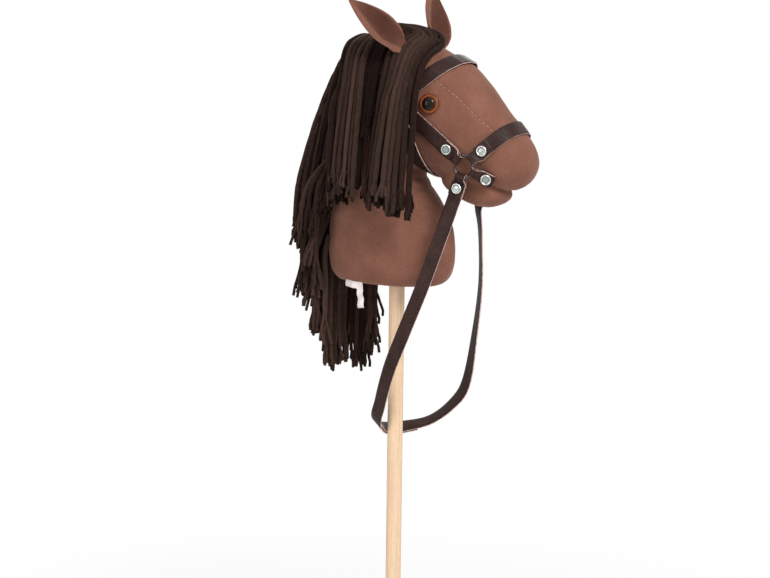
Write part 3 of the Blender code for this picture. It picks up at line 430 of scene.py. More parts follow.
# %% Satin and thread
def satin():
    made, tree = finish("white_satin", roughness=0.45, sheen_weight=0.3, sheen_roughness=0.3)
    weave = grouped(tree, fibres, fibre_size=0.0004, stretch=5.0)
    coloured(tree, weave["Height"], (0.3, 0.80, 0.66, 0.64), (0.65, 0.93, 0.87, 0.86))
    embossed(tree, weave["Height"], 0.0002, 0.5)
    return made


def thread():
    made, tree = finish("seam_thread", roughness=0.8, sheen_weight=0.2)
    ply = grouped(tree, fibres, fibre_size=0.0003, stretch=3.0)
    coloured(tree, ply["Height"], (0.3, 0.28, 0.13, 0.085), (0.7, 0.50, 0.29, 0.21))
    embossed(tree, ply["Height"], 0.0001, 0.5)
    return made


VELOUR, LEATHER, EDGE, SILVER, DARK_METAL = velour(), leather(), cut_edge(), rivet_silver(), dark_metal()
BEECH, YARN, RESIN, SATIN, THREAD = beech(), yarn(), eye_resin(), satin(), thread()
print("finishes:", [made.name for made in bpy.data.materials if made.use_nodes and made.users])

# %% [markdown]
# ## Small tools for shapes
#
# The CAD nodes arrive as loose triangles, so a copy is welded before anything is built on it. Straps and
# yarn find their places by casting rays at what they lie on, which is how they stay on the head when it
# changes.

# %% Mesh helpers
SIDEWAYS = Vector((0, 1, 0))
FROM_SIDE, FROM_FAR = 0.3, 0.4


def cad_mesh(name):
    """A welded copy of a CAD node."""
    bm = bmesh.new()
    bm.from_mesh(nodes[name].data)
    bmesh.ops.remove_doubles(bm, verts=bm.verts, dist=1e-6)
    return mesh_from(bm, name)


def link(name, mesh):
    made = bpy.data.objects.new(name, mesh)
    scene.collection.objects.link(made)
    return made


def piece(name, mesh, *finishes):
    """Links a finished mesh as a named object at the origin, with its finishes."""
    kinds = [min(face.material_index, len(finishes) - 1) for face in mesh.polygons]
    mesh.materials.clear()
    for one in finishes:
        mesh.materials.append(one)
    mesh.polygons.foreach_set("material_index", kinds)
    return link(name, mesh)


def place_in_frame(obj, body, slot, *stood_for):
    """Says which body a piece moves with and hides the CAD nodes it stands for. The slot is not used."""
    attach(obj, body)
    if stood_for:
        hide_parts(*stood_for)


def named(start):
    return [name for name in nodes if name.startswith(start)]


def shell(name, points, faces):
    """A smooth mesh whose faces look outward."""
    bm = bmesh.new()
    verts = [bm.verts.new(p) for p in points]
    for face in faces:
        bm.faces.new([verts[i] for i in face])
    bmesh.ops.recalc_face_normals(bm, faces=bm.faces)
    mesh = mesh_from(bm, name)
    mesh.shade_smooth()
    return mesh


def grid_faces(rows, columns, rows_close=False, columns_close=True):
    """Quads between neighbouring points of a grid. Where rows or columns close, the last joins the first."""
    faces = []
    for row in range(rows if rows_close else rows - 1):
        for k in range(columns if columns_close else columns - 1):
            here, beside = row * columns + k, row * columns + (k + 1) % columns
            ahead = (row + 1) % rows * columns - row * columns
            faces.append((here, beside, beside + ahead, here + ahead))
    return faces


def evaluated_mesh(obj):
    """The mesh that an object's modifiers make. The object itself is then removed."""
    mesh = bpy.data.meshes.new_from_object(obj.evaluated_get(bpy.context.evaluated_depsgraph_get()))
    bpy.data.objects.remove(obj)
    return mesh


def modified(mesh, kind, **settings):
    """A mesh with one modifier applied."""
    obj = link("work", mesh)
    modifier = obj.modifiers.new("work", kind)
    for key, value in settings.items():
        setattr(modifier, key, value)
    return evaluated_mesh(obj)


class Touch:
    """The outside of some meshes, to cast rays at. A hit is a place and the normal there."""

    def __init__(self, *meshes):
        self.points = []
        self.faces = []
        for mesh in meshes:
            self.add(mesh)

    def add(self, mesh):
        start = len(self.points)
        self.points.extend(v.co.copy() for v in mesh.vertices)
        self.faces.extend(tuple(start + i for i in p.vertices) for p in mesh.polygons)
        self.tree = BVHTree.FromPolygons(self.points, self.faces)

    def hit(self, origin, direction):
        return self.tree.ray_cast(origin, direction.normalized())[:2]

    def side_hit(self, spot, side=1):
        return self.hit(spot + SIDEWAYS * FROM_SIDE * side, -SIDEWAYS * side)


# %% Curves and smooth steps
def curve_through(values, steps):
    """Rows of numbers on a smooth curve through the given rows, with steps of them from each to the next."""
    table = np.array(values, float)
    last = len(table) - 1
    found = []
    for i in range(last):
        a, b, c, d = table[max(i - 1, 0)], table[i], table[i + 1], table[min(i + 2, last)]
        for k in range(steps):
            t = k / steps
            bend = (2 * a - 5 * b + 4 * c - d) * t * t + (3 * b - a - 3 * c + d) * t**3
            found.append(0.5 * (2 * b + (c - a) * t + bend))
    found.append(table[last])
    return found


def run_lengths(line):
    """How far along a polyline each of its points lies."""
    lengths = [0.0]
    for a, b in zip(line, line[1:]):
        lengths.append(lengths[-1] + (b - a).length)
    return lengths


def run_length(line):
    return run_lengths(line)[-1]


def spaced(line, marks):
    """Points at the given distances along a polyline."""
    lengths = run_lengths(line)
    found = []
    for s in marks:
        s = min(max(s, 0.0), lengths[-1])
        k = 0
        while k < len(line) - 2 and lengths[k + 1] < s:
            k += 1
        t = (s - lengths[k]) / max(lengths[k + 1] - lengths[k], 1e-9)
        found.append(line[k].lerp(line[k + 1], t))
    return found


def evenly(total, count):
    return [total * k / count for k in range(count + 1)]


def ease(t):
    """A soft step: 0 up to 0, 1 from 1 on."""
    t = min(max(t, 0.0), 1.0)
    return t * t * (3 - 2 * t)


def bell(distance, width):
    """1 at no distance, and next to nothing past two widths."""
    return math.exp(-((distance / width) ** 2))


# %% [markdown]
# ## Straps of the bridle
#
# The bridle is cut from dark faux leather, and its cut edges show the pale backing. Each strap could be a
# curve with a flat section, but real leather stays straight across and lies taut over hollows. So rays feel
# the head under both edges, the taut line over what they meet is taken, and the strap is lofted along it
# with a bevelled pale edge.

# %% Strap sizes
STRAP_WIDTH = 0.017
STRAP_THICKNESS = 0.0015
END_WIDTH = 0.0115
FOLD_LENGTH = 0.024
FOLD_CLOSES = 0.0050
TAPER_START, TAPER_LENGTH = 0.002, 0.008
STATION_STEP = 0.0065
MOUTH_TAB_LENGTH, MOUTH_TAB_WIDTH, MOUTH_FOLD_WIDTH = 0.022, 0.0135, 0.0090
MOUTH_TAB_PARTS, MOUTH_TAB_FALL = 12, 30.0
RIVET_AT = {"headpiece": 0.0165, "noseband": 0.0135, "mouth_tab": 0.0135, "rein": 0.0135}
RING_RADIUS = 0.0124
WIRE = 0.003
SEAT, SAG, RUN = 0.0003, 0.0005, 0.0006
FOLD_RADIUS = WIRE / 2 + RUN + STRAP_THICKNESS / 2
PLY_PITCH = STRAP_THICKNESS + SEAT
STATIONS = [0.0, 0.0025, 0.005, 0.0075, 0.010, 0.0135, 0.0165, 0.020, FOLD_LENGTH]
EDGES, FEELERS = (-1, 0, 1), (-1, -0.5, 0, 0.5, 1)
HEAD_MIDDLE = Vector((0.003, 0, 0.734))
HEAD_LEAN = math.radians(29.3)
HEAD_AXIS = Vector((math.cos(HEAD_LEAN), 0, -math.sin(HEAD_LEAN)))

turns = {joint["name"]: Vector(joint["pos_m"]) for joint in frame["joints"]}
RING_MIDDLE = turns["reins_swing"]
WIRE_OUT = turns["ring_left_turn"].y
print("rings at", [round(value, 4) for value in RING_MIDDLE], "out", round(WIRE_OUT, 4))

# %% Strap lines over the head
FEEL_STEPS, FEEL_SMOOTHING = 200, 14
CLEAR_OF_RING = 0.001


def taut(points):
    """The taut line over points (across, out), bulging outward."""
    line = []
    for p in points:
        while len(line) > 1:
            (ax, ay), (bx, by) = line[-2], line[-1]
            if (bx - ax) * (p[1] - ay) - (by - ay) * (p[0] - ax) < 0:
                break
            line.pop()
        line.append(p)
    return line


def square_to(direction):
    """The direction across a strap that runs this way in the plane of the ring."""
    return Vector((-direction.z, 0, direction.x))


def band_lines(touch, centre, direction, half, starts, inner, rise):
    """Lower edge, middle and upper edge of a strap, from the right side over the head to the left."""
    square = square_to(direction)
    reaches = []
    for k in range(-FEEL_STEPS, FEEL_STEPS + 1):
        angle = math.pi * k / FEEL_STEPS
        ray = direction * math.cos(angle) + SIDEWAYS * math.sin(angle)
        found = []
        for share in FEELERS:
            eye = centre + square * share * half + direction * inner
            place, _ = touch.hit(eye + ray * FROM_FAR, -ray)
            found.append((place - eye).length if place else None)
        reaches.append((angle, found))
    slopes = [(f[4] - f[0]) / 2 if f[0] and f[4] else 0.0 for _, f in reaches]
    lines = []
    for share, start in zip(EDGES, starts):
        hits = []
        for i, (angle, found) in enumerate(reaches):
            window = slopes[max(0, i - FEEL_SMOOTHING) : i + FEEL_SMOOTHING + 1]
            slope = sum(window) / len(window)
            lifted = [f - slope * at for f, at in zip(found, FEELERS) if f]
            if not lifted:
                continue
            reach = max(lifted) + slope * share + rise
            along = inner + reach * math.cos(angle)
            if along > start[0] + CLEAR_OF_RING:
                hits.append((reach * math.sin(angle), along))
        line = taut([(-start[1], start[0])] + hits + [(start[1], start[0])])
        base = centre + square * share * half
        lines.append([base + direction * along + SIDEWAYS * out for out, along in line])
    return lines


def band_rows(lines, stations):
    columns = []
    for line in lines:
        columns.append(spaced(line, [s / stations[-1] * run_length(line) for s in stations]))
    return [list(row) for row in zip(*columns)]


# %% Folded ends round a ring
FOLD_TURNS = 6


def widening(distance):
    """How far a strap has widened from its folded end to its full width, as a share."""
    return ease((distance - TAPER_START) / TAPER_LENGTH)


def wire_reach(offset):
    return math.sqrt(RING_RADIUS**2 - offset**2)


def row_normal(rows, k, j, outward):
    along = rows[min(k + 1, len(rows) - 1)][j] - rows[max(k - 1, 0)][j]
    across = rows[k][min(j + 1, 2)] - rows[k][max(j - 1, 0)]
    normal = along.cross(across).normalized()
    return normal if normal.dot(outward) > 0 else -normal


def fold_rows(rows, spacing, side):
    """Rows that carry a strap round the ring's wire and back over itself. rows start at the wire."""
    outward = SIDEWAYS * side
    direction = rows[2][1] - rows[0][1]
    direction = (direction - outward * direction.dot(outward)).normalized()
    folded = []
    for k in reversed(range(len(spacing))):
        t = ease(max(spacing[k] - STATIONS[1], 0) / FOLD_CLOSES)
        height = 2 * FOLD_RADIUS + (PLY_PITCH - 2 * FOLD_RADIUS) * t
        row = []
        for j in range(3):
            row.append(rows[k][j] + outward.lerp(row_normal(rows, k, j, outward), t).normalized() * height)
        folded.append(row)
    for i in range(1, FOLD_TURNS):
        angle = math.pi * i / FOLD_TURNS
        swing = outward * math.cos(angle) - direction * math.sin(angle)
        folded.append([rows[0][j] + (outward + swing) * FOLD_RADIUS for j in range(3)])
    return folded


# %% Strap body with bevelled edges
UPPER = ((-0.985, 0.8), (-0.94, 1.0), (-0.5, 1.0), (0.0, 1.0), (0.5, 1.0), (0.94, 1.0), (0.985, 0.8))
SECTION = ((-1.0, 0.4), *UPPER, (1.0, 0.4), (1.0, -0.4), *((x, -y) for x, y in reversed(UPPER)), (-1.0, -0.4))
EDGE_SUM = 1.93
LOFT_STEPS = 3


def strap_mesh(name, rows):
    """Lofts the strap's section along rows of three points; its sides and ends take the second finish."""
    table = [[value for point in row for value in point] for row in rows]
    fine = [[Vector(row[i : i + 3]) for i in (0, 3, 6)] for row in curve_through(table, LOFT_STEPS)]
    sides = len(SECTION)
    points = []
    for k, row in enumerate(fine):
        ahead = fine[min(k + 1, len(fine) - 1)][1] - fine[max(k - 1, 0)][1]
        normal = ahead.cross(row[2] - row[0]).normalized()
        for across, out in SECTION:
            low, mid, high = across * (across - 1) / 2, 1 - across * across, across * (across + 1) / 2
            spot = row[0] * low + row[1] * mid + row[2] * high
            points.append(spot + normal * out * STRAP_THICKNESS / 2)
    faces = grid_faces(len(fine), sides)
    edge = [abs(SECTION[j][0]) + abs(SECTION[(j + 1) % sides][0]) > EDGE_SUM for j in range(sides)]
    kinds = [int(edge[i % sides]) for i in range(len(faces))] + [1, 1]
    faces += [tuple(range(start, start + sides)) for start in (0, (len(fine) - 1) * sides)]
    mesh = shell(name, points, faces)
    mesh.polygons.foreach_set("material_index", kinds)
    return mesh


straps = {}


def ring_band(name, touch, direction, inner):
    """A strap from ring to ring over the head, folded back over itself at both ends."""
    rise = SEAT + SAG + STRAP_THICKNESS / 2
    starts = [(wire_reach(share * END_WIDTH / 2), WIRE_OUT - FOLD_RADIUS) for share in EDGES]
    wide = band_lines(touch, RING_MIDDLE, direction, STRAP_WIDTH / 2, starts, inner, rise)
    narrow = band_lines(touch, RING_MIDDLE, direction, END_WIDTH / 2, starts, inner, rise)
    total = run_length(wide[1])
    count = max(2, round((total - 2 * FOLD_LENGTH) / STATION_STEP))
    middle = [FOLD_LENGTH + s for s in evenly(total - 2 * FOLD_LENGTH, count)[1:-1]]
    stations = STATIONS + middle + [total - s for s in reversed(STATIONS)]
    rows = []
    for s, w, n in zip(stations, band_rows(wide, stations), band_rows(narrow, stations)):
        rows.append([n[j].lerp(w[j], widening(min(s, total - s))) for j in range(3)])
    full = fold_rows(rows, STATIONS, -1) + rows + fold_rows(rows[::-1], STATIONS, 1)[::-1]
    straps[name] = strap_mesh(name, full)
    return rows, stations


PLAIN_START, PLAIN_INNER = -0.011, 0.012


def plain_band(name, touch, centre, direction):
    """A strap over the head whose two ends simply stop, one on each side."""
    rise = SEAT + 2 * SAG + STRAP_THICKNESS / 2
    outs = []
    for share in FEELERS:
        spot = centre + square_to(direction) * share * STRAP_WIDTH / 2 + direction * PLAIN_START
        outs.append(touch.side_hit(spot)[0].y)
    starts = [(PLAIN_START, max(outs) + rise)] * 3
    lines = band_lines(touch, centre, direction, STRAP_WIDTH / 2, starts, PLAIN_INNER, rise)
    total = run_length(lines[1])
    straps[name] = strap_mesh(name, band_rows(lines, evenly(total, round(total / STATION_STEP))))


def mouth_tab(name, touch, side):
    """A short strap folded round a ring that lies along the muzzle and stops at the corner of the mouth."""
    rise = SEAT + SAG + STRAP_THICKNESS / 2
    out = WIRE_OUT - FOLD_RADIUS
    square = square_to(HEAD_AXIS)
    reaches = evenly(MOUTH_TAB_LENGTH, MOUTH_TAB_PARTS)
    outs = []
    for reach in reaches:
        stand = out - MOUTH_TAB_FALL * reach**2
        for share in EDGES:
            spot = RING_MIDDLE + square * share * MOUTH_TAB_WIDTH / 2 + HEAD_AXIS * (RING_RADIUS + reach)
            stand = max(stand, touch.side_hit(spot)[0].y + rise)
        outs.append(min(stand, out))
    stations = [s for s in STATIONS if s < MOUTH_TAB_LENGTH] + [MOUTH_TAB_LENGTH]
    widths = []
    for width in (MOUTH_FOLD_WIDTH, MOUTH_TAB_WIDTH):
        columns = []
        for share in EDGES:
            start = wire_reach(share * MOUTH_FOLD_WIDTH / 2)
            line = taut([(start + reach, stand) for reach, stand in zip(reaches, outs)])
            base = RING_MIDDLE + square * share * width / 2
            columns.append([base + HEAD_AXIS * a + SIDEWAYS * o * side for a, o in line])
        widths.append(band_rows(columns, stations))
    rows = []
    for s, narrow, wide in zip(stations, *widths):
        rows.append([narrow[j].lerp(wide[j], widening(s)) for j in range(3)])
    straps[name] = strap_mesh(name, fold_rows(rows, stations[:-1], side) + rows)
    return rows, stations


# %% Rivet places
rivets = {"horse": [], "reins": []}


def rivet_on_fold(body, kind, rows, stations, outward):
    k = min(range(len(stations)), key=lambda i: abs(stations[i] - RIVET_AT[kind]))
    normal = row_normal(rows, k, 1, outward)
    rivets[body].append((rows[k][1] + normal * (PLY_PITCH + STRAP_THICKNESS / 2), normal))


# %% Bridle on the head
POLL = HEAD_MIDDLE + Vector((-0.041, 0, 0.041))
POLL_WAY = (POLL - RING_MIDDLE).normalized()
NOSE_WAY = Vector((0.735, 0, 0.678)).normalized()
THROAT_WAY = Vector((0.215, 0, -0.977)).normalized()
BROW_WAY = Vector((0.737, 0, 0.676)).normalized()
JOINT = RING_MIDDLE + POLL_WAY * 0.103

head_touch = Touch(cad_mesh("head"))
for name, way, inner in (("headpiece", POLL_WAY, 0.105), ("noseband", NOSE_WAY, 0.012)):
    rows, stations = ring_band(name, head_touch, way, inner)
    rivet_on_fold("horse", name, rows, stations, -SIDEWAYS)
    rivet_on_fold("horse", name, rows[::-1], stations, SIDEWAYS)
chops = Touch(cad_mesh("head"), cad_mesh("lower_jaw"))
for side, hand in ((1, "left"), (-1, "right")):
    rows, stations = mouth_tab("mouth_tab_" + hand, chops, side)
    rivet_on_fold("horse", "mouth_tab", rows, stations, SIDEWAYS * side)

head_touch.add(straps["headpiece"])
for name, way in (("throat_strap", THROAT_WAY), ("browband", BROW_WAY)):
    plain_band(name, head_touch, JOINT, way)
    head_touch.add(straps[name])
for side in (1, -1):
    rivets["horse"].append(head_touch.side_hit(JOINT, side))
print("straps:", {name: len(mesh.polygons) for name, mesh in straps.items()})

# %% [markdown]
# ## Reins
#
# The reins are one flat loop from ring to ring, sewn where their ends meet. They hang from the rings rather
# than lie on anything, so their middle line is given as a list: down past the neck, behind the stick, and up
# on the far side. A stiff strap turns slowly, so each station also says which way its face looks, and both
# are smoothed together.

# %% Rein route
REIN_WAYS = {-1: Vector((-0.355, 0, -0.935)).normalized(), 1: Vector((-0.455, 0, -0.890)).normalized()}
REIN_STEP = 0.010
REIN_PARTS = 0.018
RIGHT_ENDS, LEFT_ENDS = 0.545, 0.43
REIN_LOOP = (
    (0.0841, -0.0485, 0.5783, 0.0, 1.0, 0.0), (0.0614, -0.0500, 0.5175, 0.05, 1.0, 0.0),
    (0.0358, -0.0490, 0.4584, 0.10, 0.98, 0.10), (0.0145, -0.0410, 0.4162, 0.22, 0.93, 0.20),
    (-0.0048, -0.0280, 0.3713, 0.35, 0.85, 0.35), (-0.0145, -0.0150, 0.3500, 0.50, 0.50, 0.70),
    (-0.0165, 0.0, 0.3390, 0.65, 0.0, 0.75), (-0.0165, 0.0180, 0.3345, 0.60, -0.10, 0.78),
    (-0.0106, 0.0400, 0.3326, 0.45, -0.30, 0.84), (0.0152, 0.0570, 0.3400, -0.05, -0.55, 0.83),
    (0.0411, 0.0630, 0.3611, -0.30, -0.75, 0.55), (0.0586, 0.0640, 0.3881, -0.45, -0.87, 0.15),
    (0.0702, 0.0610, 0.4467, -0.65, -0.75, 0.10), (0.0792, 0.0560, 0.5091, -0.75, -0.65, 0.0),
    (0.0805, 0.0500, 0.5689, -0.75, -0.65, 0.0), (0.0790, 0.0460, 0.5979, -0.55, -0.80, 0.0),
)


def rein_start(side):
    start = RING_MIDDLE + REIN_WAYS[side] * (RING_RADIUS + FOLD_LENGTH + REIN_STEP)
    return (start.x, (WIRE_OUT - FOLD_RADIUS) * side, start.z, 0.0, -side, 0.0)


route = curve_through([rein_start(-1), *REIN_LOOP, rein_start(1)], 8)
route_line = [Vector(row[:3]) for row in route]
run = run_lengths(route_line)
route_total = run[-1]
marks = evenly(route_total, round(route_total / REIN_STEP))
places = spaced(route_line, marks)
looks = [Vector([np.interp(s, run, [row[i] for row in route]) for i in (3, 4, 5)]) for s in marks]
print("rein loop", round(route_total, 3), "m between its folded ends")


# %% Both reins
def rein(name, side, first, last, outside):
    outward = SIDEWAYS * side
    way = REIN_WAYS[side]
    square = way.cross(outward)
    fold = RING_MIDDLE + outward * (WIRE_OUT - FOLD_RADIUS)
    rows = []
    for s in STATIONS:
        width = END_WIDTH + (STRAP_WIDTH - END_WIDTH) * widening(s)
        row = []
        for share in EDGES:
            middle = fold + way * (wire_reach(share * END_WIDTH / 2) + s)
            row.append(middle + square * share * width / 2)
        rows.append(row)
    picked = [k for k in range(len(marks)) if first <= marks[k] / route_total <= last]
    if side > 0:
        picked.reverse()
    for k in picked:
        ahead = (places[min(k + 1, len(places) - 1)] - places[max(k - 1, 0)]).normalized()
        look = (looks[k] - ahead * looks[k].dot(ahead)).normalized()
        across = ahead.cross(look)
        shift = 0.0
        if outside:
            past = marks[k] - route_total * LEFT_ENDS + REIN_STEP + REIN_PARTS
            shift = -(PLY_PITCH + SAG) * ease(past / REIN_PARTS)
        row = [places[k] + look * shift + across * share * STRAP_WIDTH / 2 for share in EDGES]
        if (row[2] - row[0]).dot(rows[-1][2] - rows[-1][0]) < 0:
            row.reverse()
        rows.append(row)
    straps[name] = strap_mesh(name, fold_rows(rows[: len(STATIONS) + 1], STATIONS, side) + rows)
    rivet_on_fold("reins", "rein", rows[: len(STATIONS) + 1], STATIONS, outward)


rein("rein_right", -1, 0, RIGHT_ENDS, True)
rein("rein_left", 1, LEFT_ENDS, 1, False)
for name, mesh in straps.items():
    strap = piece(name + "_strap", mesh, LEATHER, EDGE)
    place_in_frame(strap, "reins" if name.startswith("rein") else "horse", "brown_leather", name)
print("pieces of strap:", len(straps))

# %% [markdown]
# ## Stuffed cover
#
# Head, neck and lower jaw are one sewn velour cover over firm stuffing. Subdividing the CAD solids would
# keep them apart, so the three are fused by a voxel remesh, which also rounds the places where they meet.
# Cloth simulation then swells the cover a little, held at its seams and under its straps. Seams are pressed
# in after that.

# %% Fuse and relax
VOXEL = 0.0036
COVER_BASE = 0.509
PLUG_RADIUS, PLUG_LENGTH, PLUG_START = 0.0105, 0.232, 0.006


def fused_cover():
    """Head, neck and jaw in one skin. A plug fills the stick's hole, so that the skin has no inside there."""
    bm = bmesh.new()
    for name in ("head", "neck", "lower_jaw"):
        bm.from_mesh(nodes[name].data)
    plug = bmesh.ops.create_cone(bm, cap_ends=True, segments=24, radius1=PLUG_RADIUS, radius2=PLUG_RADIUS,
                                 depth=PLUG_LENGTH)
    bmesh.ops.translate(bm, verts=plug["verts"], vec=(0, 0, COVER_BASE + PLUG_START + PLUG_LENGTH / 2))
    bmesh.ops.remove_doubles(bm, verts=bm.verts, dist=1e-6)
    return modified(mesh_from(bm, "fused"), "REMESH", mode="VOXEL", voxel_size=VOXEL)


def keep_largest(mesh, rounds):
    """Drops loose inner shells and smooths the steps of the voxels away."""
    bm = bmesh.new()
    bm.from_mesh(mesh)
    left = set(bm.verts)
    shells = []
    while left:
        seed = left.pop()
        grown, edge = {seed}, [seed]
        while edge:
            for joined in edge.pop().link_edges:
                for vert in joined.verts:
                    if vert in left:
                        left.discard(vert)
                        grown.add(vert)
                        edge.append(vert)
        shells.append(grown)
    biggest = max(shells, key=len)
    bmesh.ops.delete(bm, geom=[v for v in bm.verts if v not in biggest], context="VERTS")
    for _ in range(rounds):
        bmesh.ops.smooth_vert(bm, verts=bm.verts, factor=0.5, use_axis_x=True, use_axis_y=True,
                              use_axis_z=True)
    return mesh_from(bm, "cover")


cover = keep_largest(fused_cover(), 5)
print("cover", len(cover.vertices), "points")

# %% Seam lines
GUSSET = ((425, 66), (433, 76), (441, 85), (452, 93), (463, 103), (475, 115), (488, 127), (499, 137))
METRES_PER_PIXEL = 0.00115
PHOTO_MIDDLE = (385, 289)
SEAM_EYE = Vector((-0.01, 0, 0.68))
SEAM_LOWEST, SEAM_FOREMOST = 0.53, 0.05


def photo_ray(across, down):
    """The direction from the camera through a place in the photograph, in pixels."""
    scale = DISTANCE / METRES_PER_PIXEL
    right, up = across - PHOTO_MIDDLE[0], PHOTO_MIDDLE[1] - down
    return (-backward + camera_right * right / scale + camera_up * up / scale).normalized()


cover_touch = Touch(cover)
eye_point = camera.matrix_world.translation
right_seam = [cover_touch.hit(eye_point, photo_ray(*spot))[0] for spot in GUSSET]
right_seam = [Vector(row) for row in curve_through([list(p) for p in right_seam], 8)]
left_seam = [Vector((p.x, -p.y, p.z)) for p in right_seam]
middle_line = []
for degrees in range(62, 242, 2):
    angle = math.radians(degrees)
    ray = Vector((math.cos(angle), 0, math.sin(angle)))
    spot, _ = cover_touch.hit(SEAM_EYE + ray * FROM_SIDE, -ray)
    if spot is not None and spot.z > SEAM_LOWEST and spot.x < SEAM_FOREMOST:
        middle_line.append(spot)
print("seams", len(right_seam), "and", len(middle_line), "points")


def near_tree(points):
    tree = KDTree(len(points))
    for i, p in enumerate(points):
        tree.insert(p, i)
    tree.balance()
    return tree


gusset_tree = near_tree(right_seam + left_seam)
middle_tree = near_tree(middle_line)
strap_tree = Touch(*[mesh for name, mesh in straps.items() if not name.startswith("rein")]).tree
jaw_tree, head_tree = Touch(cad_mesh("lower_jaw")).tree, Touch(cad_mesh("head")).tree

# %% Stuffing by cloth simulation
SWELL = 0.0028
PRESSURE, CLOTH_QUALITY, CLOTH_FRAMES = 4, 4, 20
HELD_BY_STRAP, HELD_BY_GUSSET, HELD_BY_MIDDLE, HELD_BY_RIM = 0.009, 0.010, 0.008, 0.010


def point_table(mesh):
    table = np.empty(len(mesh.vertices) * 3)
    mesh.vertices.foreach_get("co", table)
    return table.reshape(-1, 3)


def stuff(mesh):
    """Swells the cover with Cloth pressure, held at seams, straps and stick, and never beyond SWELL."""
    start = point_table(mesh)
    obj = link("stuffing", mesh)
    held = obj.vertex_groups.new(name="held")
    for i, v in enumerate(mesh.vertices):
        near_strap = strap_tree.find_nearest(v.co)[3] / HELD_BY_STRAP
        near_gusset = gusset_tree.find(v.co)[2] / HELD_BY_GUSSET
        near_middle = middle_tree.find(v.co)[2] / HELD_BY_MIDDLE
        near_rim = (v.co.z - COVER_BASE) / HELD_BY_RIM
        held.add([i], 1.0 - ease(min(near_strap, near_gusset, near_middle, near_rim)), "REPLACE")
    cloth = obj.modifiers.new("stuffing", "CLOTH")
    cloth.settings.use_pressure = True
    cloth.settings.uniform_pressure_force = PRESSURE
    cloth.settings.effector_weights.gravity = 0
    cloth.settings.vertex_group_mass = "held"
    cloth.settings.quality = CLOTH_QUALITY
    cloth.point_cache.frame_start = 1
    cloth.point_cache.frame_end = CLOTH_FRAMES
    for number in range(1, CLOTH_FRAMES + 1):
        scene.frame_set(number)
    move = point_table(evaluated_mesh(obj)) - start
    scene.frame_set(1)
    size = np.linalg.norm(move, axis=1, keepdims=True)
    move *= np.minimum(1.0, SWELL / np.maximum(size, 1e-9))
    print("stuffing moved the cover by up to", round(float(size.max()) * 1000, 1), "mm before the cap")
    mesh.vertices.foreach_set("co", (start + move).ravel())


stuff(cover)

# %% Finer surface, seams, folds and straps pressed in
GUSSET_DEPTH, GUSSET_WIDTH = 0.0011, 0.0022
MIDDLE_DEPTH, MIDDLE_WIDTH = 0.0014, 0.003
MOUTH_DEPTH, MOUTH_WIDTH, MOUTH_START, MOUTH_EASE = 0.0062, 0.0040, 0.112, 0.02
THROAT_X, THROAT_Z = (0.0, 0.07), (0.585, 0.665)
FOLDS = ((0.6405, 0.0009), (0.6300, 0.0012), (0.6190, 0.0008))
FOLD_WIDTH, FOLD_WAVE, FOLD_DROOP = 0.0024, 0.004, 0.15
LUMPS = ((0.0006, 34), (0.0003, 90))
PRESS_START, PRESS_REACH, PRESS_ROUNDS, PRESS_KEPT = 0.008, 0.0085, 4, 0.97


def throat_folds(co):
    """How deep the creases across the throat are at a place."""
    if not (THROAT_X[0] < co.x < THROAT_X[1] and THROAT_Z[0] < co.z < THROAT_Z[1] and co.x > abs(co.y) * 0.3):
        return 0.0
    wave = noise.noise(Vector((co.y * 30, co.x * 9, 2.0))) * FOLD_WAVE
    level = co.z + wave - abs(co.y) * FOLD_DROOP
    return sum(size * bell(level - height, FOLD_WIDTH) for height, size in FOLDS)


def press(mesh):
    """Moves each point along its normal for the seams, the mouth, the throat's folds and the straps."""
    places = [v.co.copy() for v in mesh.vertices]
    normals = [v.normal.copy() for v in mesh.vertices]
    for i, (co, normal) in enumerate(zip(places, normals)):
        depth = GUSSET_DEPTH * bell(gusset_tree.find(co)[2], GUSSET_WIDTH)
        depth += MIDDLE_DEPTH * bell(middle_tree.find(co)[2], MIDDLE_WIDTH)
        to_both = max(jaw_tree.find_nearest(co)[3], head_tree.find_nearest(co)[3])
        forward = (co - HEAD_MIDDLE).dot(HEAD_AXIS)
        depth += MOUTH_DEPTH * bell(to_both, MOUTH_WIDTH) * ease((forward - MOUTH_START) / MOUTH_EASE)
        depth += throat_folds(co) + sum(size * noise.noise(co * often) for size, often in LUMPS)
        places[i] = co - normal * depth
    sink = np.zeros(len(places))
    for i, (co, normal) in enumerate(zip(places, normals)):
        spot, _, _, far = strap_tree.ray_cast(co - normal * PRESS_START, normal, PRESS_REACH)
        if spot is not None:
            sink[i] = max(0.0, PRESS_REACH - far)
    pairs = np.empty(len(mesh.edges) * 2, int)
    mesh.edges.foreach_get("vertices", pairs)
    pairs = pairs.reshape(-1, 2)
    spread = sink.copy()
    for _ in range(PRESS_ROUNDS):
        total, near = np.zeros_like(spread), np.zeros_like(spread)
        for a, b in ((0, 1), (1, 0)):
            np.add.at(total, pairs[:, a], spread[pairs[:, b]])
            np.add.at(near, pairs[:, a], 1)
        spread = np.maximum(sink, total / np.maximum(near, 1) * PRESS_KEPT)
    print("straps press in by up to", round(float(sink.max()) * 1000, 2), "mm")
    return [co - normal * float(depth) for co, normal, depth in zip(places, normals, spread)]


GATHER_TOP, GATHER_REACH = 0.516, 0.04
STICK_EDGE, GATHER_FADE, GATHER_LIFT = 0.009, 0.007, 0.005
PLEATS, PLEAT_HEIGHT, PLEAT_AT, PLEAT_FADE = 11, 0.0007, 0.014, 0.008


def gather_at_stick(places):
    """Draws the bottom of the cover in round the stick."""
    for co in places:
        away, angle = math.hypot(co.x, co.y), math.atan2(co.y, co.x)
        if co.z < GATHER_TOP and away < GATHER_REACH:
            lift = GATHER_LIFT * bell(max(away - STICK_EDGE, 0), GATHER_FADE)
            co.z += lift + PLEAT_HEIGHT * math.sin(angle * PLEATS) * bell(away - PLEAT_AT, PLEAT_FADE)


